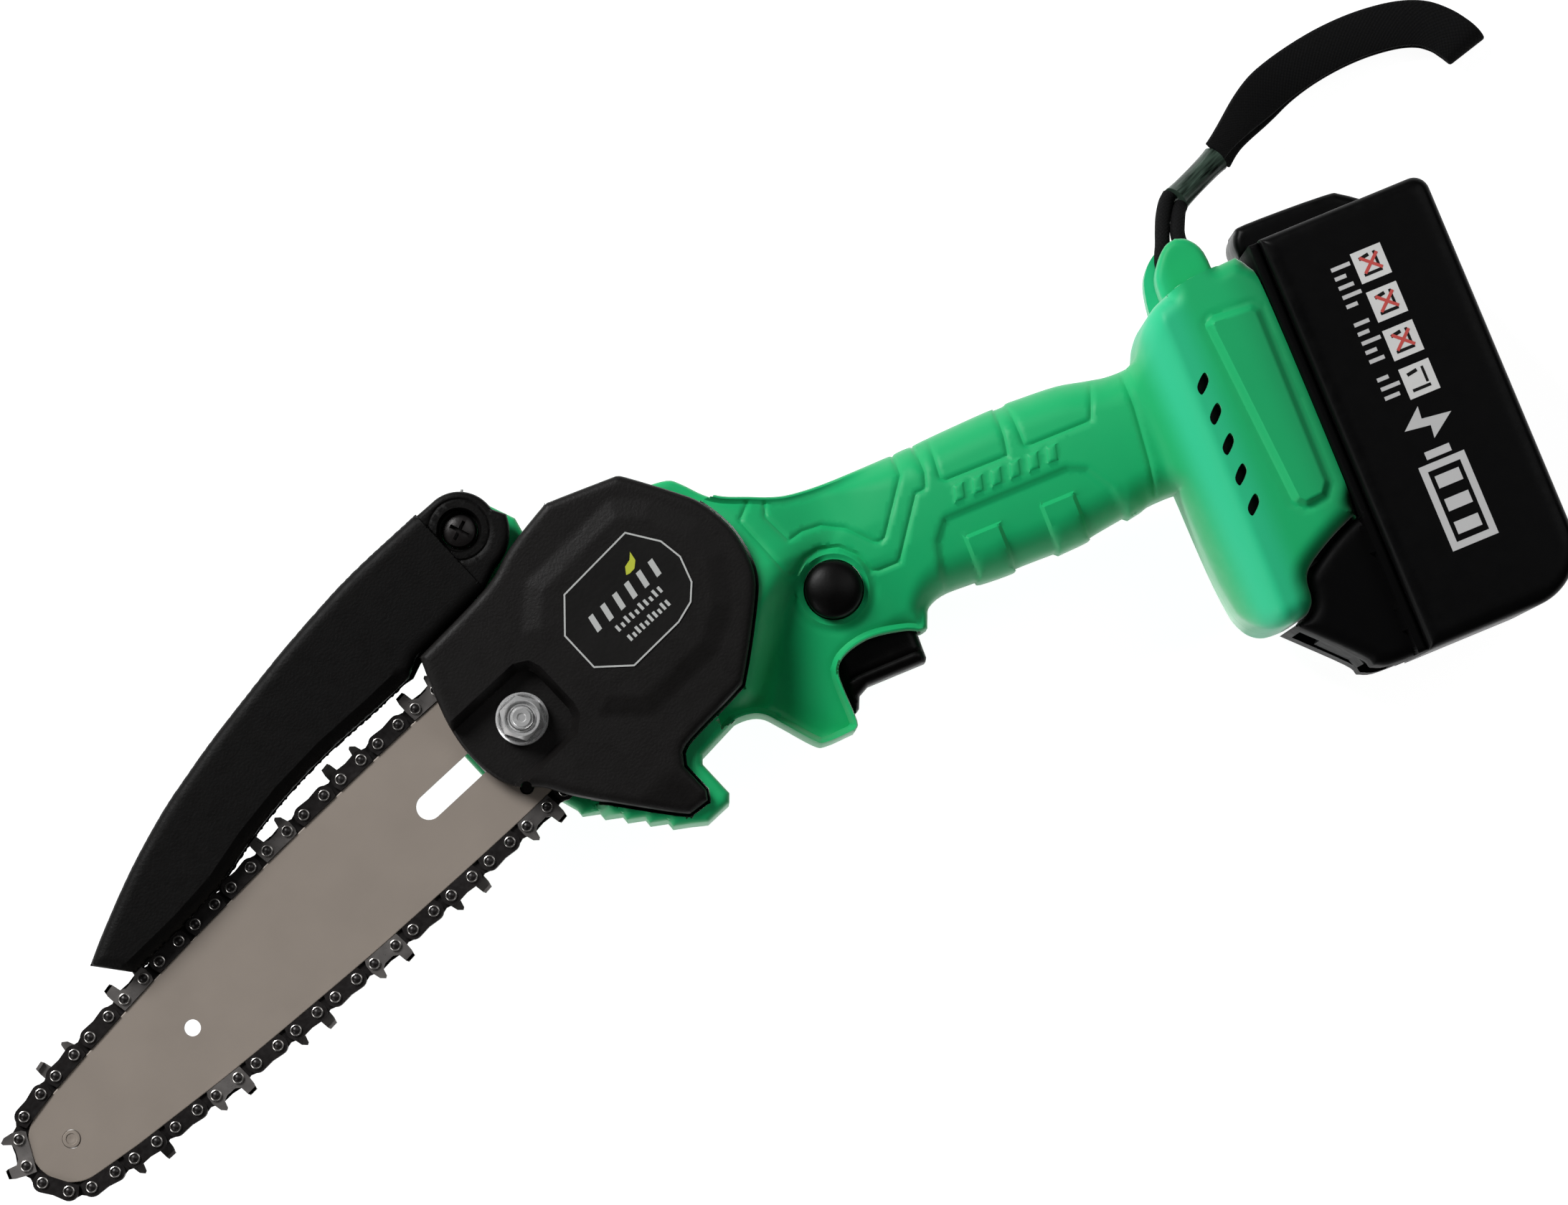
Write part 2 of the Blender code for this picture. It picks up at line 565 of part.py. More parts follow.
def make_cover():
    low, face, plateau = HEAD_FACE + GAP, 68.0, 70.0
    cover = prism("chain_cover", COVER_OUTLINE, low, face, "black_plastic", chamfer=1.6)
    add(cover, prism("cover_plateau", PLATEAU_OUTLINE, face - 1, plateau, chamfer=1.4))
    well = [(-26, 26), (-24, 26), (-22, 27.4), *arc((0, 2.8), 26.6, 112, -122, 20), (-22, -26), (-26, -26)]
    run = rectangle(-60, -26, -25, 26)
    pocket = [(-60, -12.5), (-31, -12), (-27.6, -8.5), (-27.6, 7.5), (-31, 11), (-60, 11)]
    cut(cover, prism("cover_run", run, 45, 59.3), prism("cover_well", well, 45, 62.0),
        prism("cover_pocket", pocket, 62, 75),
        prism("cover_badge_seat", [(x * 1.03, y * 1.03) for x, y in BADGE_OUTLINE], 69.4, 75))
    add(cover, prism("cover_pad", rectangle(-49, -9, -30, 9), 56.8, 61))
    cut(cover, prism("cover_stud_hole", circle((STUD_X, 0), 3.5, 20), 45, 75))
    prism("cover_badge", BADGE_OUTLINE, 69.7, 70.3, "badge")


# ---------------------------------------------------------------- guard

def make_guard():
    guard = prism("guard", GUARD_OUTLINE, GUARD_LOW, GUARD_HIGH, "black_plastic", origin=(*PIVOT, 0),
                  chamfer=1.0)
    hollow = prism("guard_hollow", GUARD_HOLLOW, GUARD_LOW + GUARD_WALL, GUARD_HIGH - GUARD_WALL)
    cut(guard, hollow)
    arm = [(-33, 55.4), (-33, 30.9), (-24, 31.2), (-14, 34.4), *arc(PIVOT, 9.6, -58, 90, 14), (-22, 55.4)]
    add(guard, prism("guard_arm", arm, BOSS_LOW, BOSS_HIGH))
    notch = [PIVOT, *arc(PIVOT, 14, -14, 66, 6)]
    cut(guard, prism("boss_spring_room", circle(PIVOT, 7.0), 49, 55),
        prism("boss_bore", circle(PIVOT, 4.5), 49, 60),
        prism("boss_recess", circle(PIVOT, 5.3), 57.2, 66),
        prism("boss_notch", notch, 49, 52.6))
    tube_ring("guard_bush", PIVOT, 2.2, 4.2, HEAD_FACE + GAP, 57.2, "bright_steel")
    head = [(0, 57.5), (4.7, 57.5), (4.7, 58.8), (3.2, 60.0), (0, 60.0)]
    screw = turned("guard_screw", head, PIVOT, "dark_steel")
    add(screw, prism("guard_screw_shank", circle(PIVOT, 1.9, 16), 43.5, 58))
    for turn in (0, 90):
        across = [(3.0, 0.5), (-3.0, 0.5), (-3.0, -0.5), (3.0, -0.5)]
        angle = math.radians(turn + 20)
        bar = [(PIVOT[0] + a * math.cos(angle) - b * math.sin(angle),
                PIVOT[1] + a * math.sin(angle) + b * math.cos(angle)) for a, b in across]
        cut(screw, prism(f"guard_screw_cross_{turn}", bar, 59.0, 62))
    low, high = 51.0, 54.2
    turns = coil_points((*PIVOT, low), (*PIVOT, high), 5.6, 3, 12)
    start = turns[0]
    leg = Vector((start.x - PIVOT[0], start.y - PIVOT[1], 0)).normalized()
    sweep("guard_spring", [start + leg * 5.2, start + leg * 1.2, *turns[1:]], 0.42, "bright_steel")


# ---------------------------------------------------------------- handle

SCREW_PLACES = [grip(134.6, 6.2), grip(74, -20.2), grip(38.8, 11), grip(33.5, -38), grip(147, -55), (-33, 20)]


def drill_for_screws(shell, low, high, radius):
    for i, place in enumerate(SCREW_PLACES):
        cut(shell, prism(f"{shell.name}_screw_hole_{i}", circle(place, radius, 12), low, high))


def side_room(side, name, left, right, bottom, top, low, high):
    """A cutter for one half's share of a room that runs from one height to another through both."""
    low, high = (SPLIT - 1, high) if side == "left" else (low, SPLIT + 1)
    return grip_box(f"{side}_{name}", left, right, bottom, top, low, high)


def grip_hollows(side):
    """What both halves are hollowed by. The last two make the battery rail's channel and its mouth."""
    return [side_room(side, "grip_room", 44, 127, -15.8, 9.5, GRIP_LOW + WALL, GRIP_HIGH - WALL),
            side_room(side, "trigger_room", 40.3, 63, -52, -15, 27.7, 47.3),
            side_room(side, "wire_way", 126, 144, -4, 2.6, 29, 46),
            side_room(side, "base_room", 143, 156.6, -38, 14, 10, 65),
            side_room(side, "terminal_way", 156, 160, 5, 11, 25, 50),
            side_room(side, "rail_channel", 158.4, 167, -72, 20, 14.5, 60.5),
            side_room(side, "rail_mouth", 166.8, 176, -72, 20, 18.5, 56.5)]


def make_housing_left():
    low = SPLIT + GAP / 2
    shell = prism("housing_left", HEAD_OUTLINE, low, HEAD_FACE, "green_plastic")
    lug = [(-27, 26), (-28, 44), (-25, 50.5), (-19, 53.2), (-13, 51), (-9, 45.4), (-6.4, 38.6),
           (-7.4, 34.5), (-6, 28)]
    add(shell, prism("left_grip", grip_outline(GRIP_OUTLINE), low, GRIP_HIGH, chamfer=1.0),
        prism("left_base", grip_outline(BASE_OUTLINE), low, BASE_HIGH, chamfer=2.0),
        prism("left_pivot_lug", lug, 41, HEAD_FACE),
        prism("left_strap_lug", grip_outline(LUG_OUTLINE), 41.6, 47, chamfer=0.8),
        prism("left_strap_pin", circle(grip(*STRAP_PIN), 1.7, 12), low, 42))
    over_cover = [*arc((0, 2.8), 31.4, 95, -62, 16), (10, -30.4), (5, -32.6), (-60, -33.6), (-60, 40),
                  (-3, 40)]
    cut(shell, prism("left_cover_seat", over_cover, HEAD_FACE, 60),
        prism("left_gear_room", gear_case_outline(17.2, 19.4), 30, 47),
        prism("left_bearing_seat", circle((0, 0), 6.3), 40, 55),
        prism("left_stud_hole", circle((STUD_X, 0), 3.2, 20), 30, 55),
        prism("left_stud_seat", rectangle(STUD_X - 4.4, -4.4, STUD_X + 4.4, 4.4), 30, 41.7),
        prism("left_tension_room", rectangle(-60, -16.3, -31, -9.7), 42.6, 55),
        prism("left_pivot_hole", circle(PIVOT, 2.2, 16), 30, 55),
        prism("left_lock_hole", circle(grip(*LOCK_CENTRE), LOCK_RADIUS + GAP, 28), 43.6, 60),
        *grip_hollows("left"))
    for i in range(5):
        y = -4 - 8.1 * i
        slant = grip_outline([(148.3, y), (152.4, y + 2.6), (152.4, y + 4.4), (148.3, y + 1.8)])
        cut(shell, prism(f"vent_{i}", slant, 60, 75))
    drill_for_screws(shell, 30, 47.6, 1.6)


def make_housing_right():
    high = SPLIT - GAP / 2
    shell = prism("housing_right", HEAD_OUTLINE, HEAD_LOW, high, "green_plastic")
    barrel = grip_outline(circle((GEAR_CENTRES, 0), BARREL_RADIUS, 40))
    add(shell, prism("right_grip", grip_outline(GRIP_OUTLINE), GRIP_LOW, high),
        prism("right_base", grip_outline(BASE_OUTLINE), BASE_LOW, high),
        prism("right_barrel", barrel, CAP_HEIGHT + GAP, high),
        grip_box("right_lead_rib", 33, 44, -6, 6, CAP_HEIGHT + GAP, high),
        prism("right_strap_lug", grip_outline(LUG_OUTLINE), 28, 33.4),
        prism("right_strap_pin", circle(grip(*STRAP_PIN), 1.7, 12), 33, high))
    cut(shell, prism("right_motor_bore", circle(MOTOR_CENTRE, 19.2, 32), 0, 45),
        grip_box("right_lead_way", 30, 41.6, -4, 4, 0, 45),
        grip_box("right_lead_turn", 40, 46, -4, 4, 26, 45),
        *grip_hollows("right"))
    drill_for_screws(shell, 0, 29.6, 3.2)
    drill_for_screws(shell, 28, 45, 1.6)


def make_housing_screws():
    for i, place in enumerate(SCREW_PLACES):
        profile = [(0, 27.2), (2.4, 27.2), (2.8, 27.9), (2.8, 29.3), (1.25, 29.3), (1.25, 47), (0, 47)]
        turned(f"housing_screw_{i + 1}", profile, place, "dark_steel", 12)


def make_trigger():
    outline = [(40.7, -43.2), (41.6, -42.8), (43, -39.8), (46, -38.3), (61.6, -38.3), (62.2, -31.6),
               (62.2, -24.4), (40.7, -24.4)]
    middle = grip3(51.5, -30, SPLIT)
    low, high = SPLIT - TRIGGER_HALF_WIDTH, SPLIT + TRIGGER_HALF_WIDTH
    prism("trigger", grip_outline(outline), low, high, "black_plastic", origin=middle, chamfer=1.0,
          both_ends=True)
    grip_box("switch_module", 45, 63.4, -15.5, 5, SWITCH_LOW, SWITCH_HIGH, "grey_plastic")
    coil = coil_points(grip3(52, -23.6, SPLIT), grip3(52, -16.3, SPLIT), 3.0, 5)
    sweep("trigger_spring", coil, 0.4, "bright_steel")


def make_lock_button():
    x, y = grip(*LOCK_CENTRE)
    r = LOCK_RADIUS
    profile = [(0, 49.9), (r, 49.9), (r, 55.6), (r * 0.82, 57.0), (r * 0.45, 57.9), (0, 58.2)]
    turned("lock_button", profile, (x, y), "black_plastic", 28)
    sweep("lock_spring", coil_points((x, y, 43.9), (x, y, 49.2), 3.6, 4), 0.35, "bright_steel")


def make_terminals():
    grip_box("terminal_block", 159, 166.4, 5.2, 19.4, 15, 60, "grey_plastic")
    grip_box("terminal_plus", 161.8, 166.2, -9.5, 4.8, 26.9, 28.1, "copper")
    grip_box("terminal_minus", 161.8, 166.2, -9.5, 4.8, 46.9, 48.1, "copper")


BATTERY_LEAD_RED = [
    (158.4, 8, 29), (154, 6.5, 30), (148, 2, 33), (142, -1, 34.5), (134, -1, 34.5), (124, 1, 33.5),
    (100, 3, 32.5), (80, 1, 33), (70, 0, 34), (64, 0, 34),
]

BATTERY_LEAD_BLACK = [
    (158.4, 8, 46), (154, 6.5, 45), (148, 2, 42), (142, -1, 40.5), (134, -1, 40.5), (124, -2, 41),
    (100, -4, 42), (80, -3, 41), (70, -1, 39.5), (64, -1, 39.5),
]


def motor_lead_route(y):
    """From the switch down the way beside the motor, to a brush holder under the end bell."""
    line = [(44.6, 31), (42.4, 30.4), (40.2, 27.5), (39.7, 20), (39.6, 13), (38.2, 9.2), (35.6, 8.3)]
    return [(x, y, z) for x, z in line]


def make_lead(name, route, radius, material):
    sweep(name, smooth_route([grip3(*p) for p in route], 2), radius, material)


def make_leads():
    make_lead("battery_lead_red", BATTERY_LEAD_RED, 1.1, "red_insulation")
    make_lead("battery_lead_black", BATTERY_LEAD_BLACK, 1.1, "black_insulation")
    make_lead("motor_lead_red", motor_lead_route(2.2), 0.8, "red_insulation")
    make_lead("motor_lead_black", motor_lead_route(-2.2), 0.8, "black_insulation")


# ---------------------------------------------------------------- battery

def pack_outline():
    corner = 4.0
    return [(PACK_LEFT, PACK_BOTTOM), *arc((PACK_RIGHT - TOE, PACK_BOTTOM + TOE), TOE, -90, 0, 6),
            *arc((PACK_RIGHT - corner, PACK_TOP - corner), corner, 0, 90, 3), (PACK_LEFT, PACK_TOP)]


def make_battery_case():
    case = prism("battery_case", grip_outline(pack_outline()), 0, PACK_WIDTH, "battery_plastic",
                 origin=grip3(PACK_LEFT, 0, 0), chamfer=1.6, both_ends=True)
    cut(case, grip_box("case_room", PACK_LEFT - 3, 217.4, -81.4, 23, 2.6, PACK_WIDTH - 2.6))
    rounded = grip_outline([(203, -84), (217.6, -70), (219, -84)])
    add(case, prism("case_toe", rounded, 1, PACK_WIDTH - 1),
        prism("case_ridge", grip_outline(RIDGE_OUTLINE), RIDGE_LOW, RIDGE_HIGH))
    beyond = [(226, -70), (226, -90), (200, -90)]
    trim = grip_outline([*arc((PACK_RIGHT - TOE, PACK_BOTTOM + TOE), TOE, -95, 5, 8), *beyond])
    cut(case, prism("case_toe_trim", trim, -5, 80))


def make_battery_top():
    low, high = 3.0, PACK_WIDTH - 3.0
    top = grip_box("battery_top", LID_LEFT, 175.7, -83.7, 25.3, low, high, "battery_plastic")
    add(top, prism("lid_hump", grip_outline(HUMP_OUTLINE), 9, 66, chamfer=1.5, both_ends=True),
        grip_box("lid_rail", 160.4, 165.6, -56, 4, 15.2, 59.8),
        grip_box("lid_neck", 165, 174, -56, 4, 19.2, 55.8))
    cut(top, grip_box("slot_plus", 160, 167.4, -12, 6, 25.8, 29.2),
        grip_box("slot_minus", 160, 167.4, -12, 6, 45.8, 49.2),
        grip_box("latch_room", 150, 169, -90, -66.6, 24.2, 50.8))


def make_cells():
    first = (CELL_ROWS[0], CELL_COLUMNS[0])
    low = (PACK_WIDTH - CELL_LENGTH) / 2
    high = low + CELL_LENGTH
    pack = prism("cell_pack", circle(grip(*first), CELL_RADIUS, 20), low, high, "cell_wrap")
    for x in CELL_ROWS:
        for y in CELL_COLUMNS:
            if (x, y) != first:
                add(pack, prism(f"cell_{x:.0f}_{y:.0f}", circle(grip(x, y), CELL_RADIUS, 20), low, high))
    left, right = CELL_ROWS
    bottom, top = CELL_COLUMNS[-1], CELL_COLUMNS[0]
    add(pack, grip_box("weld_strips", left - 3, right + 3, bottom - 3, top + 3, high - 0.5, high + 0.6))
    grip_box("battery_board", 176.3, 177.7, -62, 12, 12, 63, "board_green")


def make_latch():
    """The release latch: a thumb face in the battery's sloping front, on a block that slides in."""
    outline = [(154.4, -71.0), (157.4, -68.2), (163.6, -68.2), (163.6, -80.2), (161.8, -80.6),
               (160.9, -77.9)]
    latch = prism("battery_latch", grip_outline(outline), 25, 50, "grey_plastic",
                  origin=grip3(160, -74, SPLIT), chamfer=0.6, both_ends=True)
    cut(latch, grip_box("latch_spring_seat", 160.6, 164, -76.5, -71.5, 34, 41))
    coil = coil_points(grip3(161.2, -74, SPLIT), grip3(168.2, -74, SPLIT), 1.8, 5, 8)
    sweep("latch_spring", coil, 0.3, "bright_steel")


# ---------------------------------------------------------------- strap

def strap_cord_route():
    """The thin cord: out of the sleeve, round the lug's pin, and back into the sleeve."""
    out = [(164.0, 47.4, 30.4), (162.2, 45.8, 31.6), (160.0, 42.6, 33.7), (158.3, 39.2, 35.6),
           (156.9, 36.0, 36.9), (155.4, 33.0, 37.4), (154.7, 30.3, 37.5)]
    turn = [(x, y, 37.5) for x, y in arc(STRAP_PIN, 3.8, 216, 324, 3)]
    back = [(162.3, 30.3, 37.5), (161.3, 34.2, 37.3), (161.6, 37.2, 36.2), (162.9, 40.0, 34.2),
            (164.4, 42.6, 31.9), (165.6, 43.9, 30.4)]
    return [*out, *turn, *back]


def strap_webbing_route():
    """The woven wrist loop, laid flat: away from the sleeve on the floor and back over itself."""
    out = [(180.4, 51.6, 17.6), (185.6, 56.0, 12.4), (192.4, 60.2, 7.2), (200.4, 64.2, 3.4),
           (209.0, 66.8, 2.2), (218.3, 68.2, 2.2), (227.6, 68.4, 2.2), (236.4, 67.3, 2.2),
           (242.6, 65.1, 2.2), (246.8, 61.8, 2.4)]
    fold = [(249.3, 58.3, 2.5), (250.4, 56.2, 3.2), (250.9, 54.9, 4.9), (250.3, 56.4, 6.6),
            (249.1, 58.6, 7.1)]
    back = [(246.6, 62.0, 7.1), (242.6, 65.4, 7.1), (236.4, 67.6, 7.2), (227.6, 68.7, 7.2),
            (218.3, 68.5, 7.3), (209.0, 67.1, 7.7), (200.4, 64.8, 9.2), (192.6, 61.4, 12.8),
            (185.4, 57.4, 17.6), (179.9, 54.0, 21.5)]
    return [*out, *fold, *back]


def make_strap():
    cord("strap_cord", smooth_route([grip3(*p) for p in strap_cord_route()], 2), CORD_RADIUS, "woven_black")
    rod("strap_sleeve", grip3(*SLEEVE_START), grip3(*SLEEVE_END), 3.3, "clear_sleeve", 16)
    cord("strap_webbing", smooth_route([grip3(*p) for p in strap_webbing_route()], 2), 1.9, "woven_black")


# ---------------------------------------------------------------- build

def make_material(name, colour, roughness, metallic):
    material = bpy.data.materials.new(name)
    material.use_nodes = True
    shader = material.node_tree.nodes["Principled BSDF"]
    shader.inputs["Base Color"].default_value = (*colour, 1)
    shader.inputs["Roughness"].default_value = roughness
    shader.inputs["Metallic"].default_value = metallic
    return material


def smooth_round_pieces():
    for item in bpy.data.objects:
        if item.type == "MESH":
            item.data.shade_smooth()
            item.data.set_sharp_from_angle(angle=math.radians(35))


for leftover in list(bpy.data.objects):
    bpy.data.objects.remove(leftover)
MATERIALS = {name: make_material(name, *look) for name, look in COLOURS.items()}
make_housing_left()
make_housing_right()
make_housing_screws()
make_motor()
make_motor_cap()
make_drive()
make_gear_plate()
make_bar()
make_chain()
make_bar_clamp()
make_tensioner()
make_cover()
make_guard()
make_trigger()
make_lock_button()
make_terminals()
make_leads()
make_battery_case()
make_battery_top()
make_cells()
make_latch()
make_strap()
smooth_round_pieces()
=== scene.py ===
"""The looks of the battery pruning chainsaw: its detailed pieces, materials, camera and light.

Lengths are in millimetres, and MM turns them into metres when a mesh is made. X runs along the
bar towards the battery, +Y is the saw's top side, and +Z its left side, which faces the camera.
"grip" coordinates share the origin and run along the handle, which drops below the bar's axis.
"""

import math

import bmesh
import bpy
import numpy as np
from mathutils import Matrix, Vector, kdtree
from mathutils.geometry import delaunay_2d_cdt


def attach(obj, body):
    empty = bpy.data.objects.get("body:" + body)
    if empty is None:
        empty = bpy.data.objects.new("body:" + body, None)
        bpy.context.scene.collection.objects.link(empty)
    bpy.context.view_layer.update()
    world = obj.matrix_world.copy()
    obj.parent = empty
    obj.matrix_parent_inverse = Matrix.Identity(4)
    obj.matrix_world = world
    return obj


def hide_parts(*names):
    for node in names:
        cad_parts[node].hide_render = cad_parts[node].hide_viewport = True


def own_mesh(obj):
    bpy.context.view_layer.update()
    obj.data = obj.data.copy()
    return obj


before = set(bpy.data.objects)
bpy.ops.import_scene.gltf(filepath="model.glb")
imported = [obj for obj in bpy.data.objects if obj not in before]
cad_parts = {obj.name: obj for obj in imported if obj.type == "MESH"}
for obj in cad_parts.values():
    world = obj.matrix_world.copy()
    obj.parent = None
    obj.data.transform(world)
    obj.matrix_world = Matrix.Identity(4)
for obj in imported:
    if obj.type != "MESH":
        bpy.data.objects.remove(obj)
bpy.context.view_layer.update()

MM = 0.001
GRIP_TILT = math.radians(20.5)
SPLIT = 37.5                     # height of the joint between the housing halves
BAR_MID = 55.0
CHAIN_STEP = 6.35
RIVETS = 74


# ---------------------------------------------------------------- places

def grip(x, y):
    """A place in grip coordinates, moved to the part's."""
    c, s = math.cos(GRIP_TILT), math.sin(GRIP_TILT)
    return (x * c + y * s, y * c - x * s)


def grip3(x, y, z):
    return (*grip(x, y), z)


def all_from_grip(outline):
    return [grip(x, y) for x, y in outline]


def all_to_grip(outline):
    """An outline in the part's coordinates, moved to grip coordinates."""
    c, s = math.cos(GRIP_TILT), math.sin(GRIP_TILT)
    return [(x * c - y * s, y * c + x * s) for x, y in outline]


def arc(centre, radius, start, end, steps):
    angles = [math.radians(start + (end - start) * i / steps) for i in range(steps + 1)]
    return [(centre[0] + radius * math.cos(a), centre[1] + radius * math.sin(a)) for a in angles]


def circle(centre, radius, sides=32):
    return arc(centre, radius, 0, 360, sides)[:-1]


def rectangle(left, bottom, right, top):
    return [(left, bottom), (right, bottom), (right, top), (left, top)]


def curve_points(a, b, c, d, steps):
    """Points from b towards c on a smooth curve that also heeds their neighbours a and d."""
    bend = 2 * a - 5 * b + 4 * c - d
    twist = 3 * b - a - 3 * c + d
    shares = [i / steps for i in range(steps)]
    return [(2 * b + (c - a) * t + bend * t * t + twist * t * t * t) / 2 for t in shares]


def smooth_route(points, steps):
    """Points along a smooth curve through a route's own points, ends included."""
    points = [Vector(p) for p in points]
    ends = [points[0] * 2 - points[1], *points, points[-1] * 2 - points[-2]]
    route = []
    for a, b, c, d in zip(ends, ends[1:], ends[2:], ends[3:]):
        route += curve_points(a, b, c, d, steps)
    return [*route, points[-1]]


def rounded(outline, sharpest=38, steps=4):
    """A closed outline drawn as a smooth curve, which keeps its corners sharper than some angle."""
    count = len(outline)
    points = [Vector(p) for p in outline]

    def is_corner(i):
        before = points[i % count] - points[(i - 1) % count]
        after = points[(i + 1) % count] - points[i % count]
        return before.angle(after) > math.radians(sharpest)

    route = []
    for i in range(count):
        b, c = points[i], points[(i + 1) % count]
        a = 2 * b - c if is_corner(i) else points[i - 1]
        d = 2 * c - b if is_corner(i + 1) else points[(i + 2) % count]
        route += [tuple(p) for p in curve_points(a, b, c, d, steps)]
    return route


# ---------------------------------------------------------------- camera

VIEW_TURN = math.radians(43)     # the bar's slope in the picture
VIEW_CENTRE = Vector((27.9, -22.8, 55.0)) * MM
VIEW_DISTANCE, VIEW_WIDTH = 2000.0, 389.1
LEAN_DOWN, LEAN_LEFT = math.radians(3.1), math.radians(0.7)
SENSOR = 36.0


def linked(name, data):
    """A new object in the scene."""
    item = bpy.data.objects.new(name, data)
    bpy.context.scene.collection.objects.link(item)
    return item


def make_camera():
    right = Vector((math.cos(VIEW_TURN), -math.sin(VIEW_TURN), 0))
    up = Vector((math.sin(VIEW_TURN), math.cos(VIEW_TURN), 0))
    back = (Vector((0, 0, 1)) - up * math.tan(LEAN_DOWN) - right * math.tan(LEAN_LEFT)).normalized()
    across = up.cross(back).normalized()
    upright = back.cross(across)
    camera = linked("camera", bpy.data.cameras.new("camera"))
    camera.data.sensor_width = SENSOR
    camera.data.lens = SENSOR * VIEW_DISTANCE / VIEW_WIDTH
    camera.data.clip_end = 20
    turn = Matrix((across, upright, back)).transposed().to_4x4()
    camera.matrix_world = Matrix.Translation(VIEW_CENTRE + back * VIEW_DISTANCE * MM) @ turn
    bpy.context.scene.camera = camera


make_camera()


# ---------------------------------------------------------------- materials

class Nodes:
    """A short way to write a material's nodes."""

    def __init__(self, material):
        self.material = material
        self.material.use_nodes = True
        self.tree = self.material.node_tree
        self.shader = self.tree.nodes["Principled BSDF"]

    def add(self, kind, **values):
        node = self.tree.nodes.new(kind)
        for key, value in values.items():
            if key in node.inputs:
                self.put(node.inputs[key], value)
            else:
                setattr(node, key, value)
        return node

    def put(self, socket, value):
        if isinstance(value, bpy.types.NodeSocket):
            self.tree.links.new(value, socket)
        else:
            socket.default_value = value

    def math(self, operation, *values):
        node = self.tree.nodes.new("ShaderNodeMath")
        node.operation = operation
        for socket, value in zip(node.inputs, values):
            self.put(socket, value)
        return node.outputs[0]

    def place(self, source="Object"):
        return self.add("ShaderNodeTexCoord").outputs[source]

    def noise(self, scale, detail=3.0, stretch=(1, 1, 1)):
        place = self.place()
        spread = self.add("ShaderNodeMapping", Vector=place, Scale=stretch).outputs[0]
        return self.add("ShaderNodeTexNoise", Vector=spread, Scale=scale, Detail=detail).outputs[0]

    def span(self, value, low, high):
        """A noise's middle values, stretched from low to high."""
        ends = {"Value": value, "From Min": 0.3, "From Max": 0.7, "To Min": low, "To Max": high}
        return self.add("ShaderNodeMapRange", **ends).outputs[0]

    def blend(self, factor, first, second):
        node = self.tree.nodes.new("ShaderNodeMix")
        node.data_type = "RGBA"
        self.put(node.inputs[0], factor)
        for socket, colour in ((node.inputs[6], first), (node.inputs[7], second)):
            self.put(socket, (*colour, 1) if isinstance(colour, tuple) else colour)
        return node.outputs[2]

    def bump(self, height, distance, strength=1.0, normal=None):
        node = self.add("ShaderNodeBump", Height=height, Distance=distance, Strength=strength)
        if normal is not None:
            self.put(node.inputs["Normal"], normal)
        return node.outputs[0]

    def set(self, **values):
        for key, value in values.items():
            self.put(self.shader.inputs[key.replace("_", " ")], value)
        return self.material


def shade(colour, share):
    return tuple(c * share for c in colour)


def mottled(n, cloud, colour, mottle):
    """A colour that a cloudy noise makes a little darker and lighter."""
    return n.blend(n.span(cloud, 0, 1), shade(colour, 1 - mottle), shade(colour, 1 + mottle))


def plastic(name, colour, roughness, grain=2600.0, relief=0.00003, mottle=0.06, shine=0.5, sheen=0.0):
    """Moulded plastic: a fine spark-eroded grain, and cloudy wear in the colour and the gloss."""
    n = Nodes(bpy.data.materials.new(name))
    cloud = n.noise(34.0, 4.0)
    fine = n.noise(grain, 2.0)
    tone = mottled(n, cloud, colour, mottle)
    gloss = n.span(n.noise(300.0, 3.0), roughness - 0.05, roughness + 0.05)
    return n.set(Base_Color=tone, Roughness=gloss, Specular_IOR_Level=shine, Sheen_Weight=sheen,
                 Sheen_Roughness=0.35, Normal=n.bump(fine, relief))


def green_plastic_with_painted_light():
    """The housing's plastic, with light and shade painted over the base: a paler painted highlight on its left
    slopes, then a deeper painted shade towards the battery.
    """
    material = plastic("green_plastic", GREEN, 0.50, mottle=0.03, relief=0.000012, shine=0.22, sheen=0.42)
    n = Nodes(material)
    tone = n.shader.inputs["Base Color"].links[0].from_socket
    parts = n.add("ShaderNodeSeparateXYZ", Vector=n.place())
    along = n.math("SUBTRACT", n.math("MULTIPLY", parts.outputs[0], math.cos(GRIP_TILT)),
                   n.math("MULTIPLY", parts.outputs[1], math.sin(GRIP_TILT)))
    share = n.math("MULTIPLY_ADD", along, 1 / (PAINTED_LIGHT_SPAN * MM), -PAINTED_LIGHT_FROM / PAINTED_LIGHT_SPAN)
    # Painted light: a painted highlight over the base's left slopes, then painted shade towards the battery, each
    # blended in by a ramp along the handle.
    for painted_light_colour, stops in BASE_PAINTED_LIGHT:
        ramp = n.add("ShaderNodeValToRGB", Fac=share)
        ramp.color_ramp.interpolation = "EASE"
        ends = ramp.color_ramp.elements
        for i, (place, amount) in enumerate(stops):
            position = (place - PAINTED_LIGHT_FROM) / PAINTED_LIGHT_SPAN
            stop = ends[i] if i < 2 else ends.new(position)
            stop.position = position
            stop.color = (amount, amount, amount, 1)
        tone = n.blend(ramp.outputs[0], tone, painted_light_colour)
    return n.set(Base_Color=tone)


def metal(name, colour, roughness, stretch=(1, 1, 1), grain=900.0, relief=0.00002, mottle=0.08, metallic=1.0):
    """Metal with a ground or rolled grain, stretched along one axis."""
    n = Nodes(bpy.data.materials.new(name))
    lines = n.noise(grain, 3.0, stretch)
    cloud = n.noise(60.0, 3.0)
    tone = mottled(n, cloud, colour, mottle)
    gloss = n.span(lines, roughness - 0.06, roughness + 0.06)
    return n.set(Base_Color=tone, Roughness=gloss, Metallic=metallic, Normal=n.bump(lines, relief))


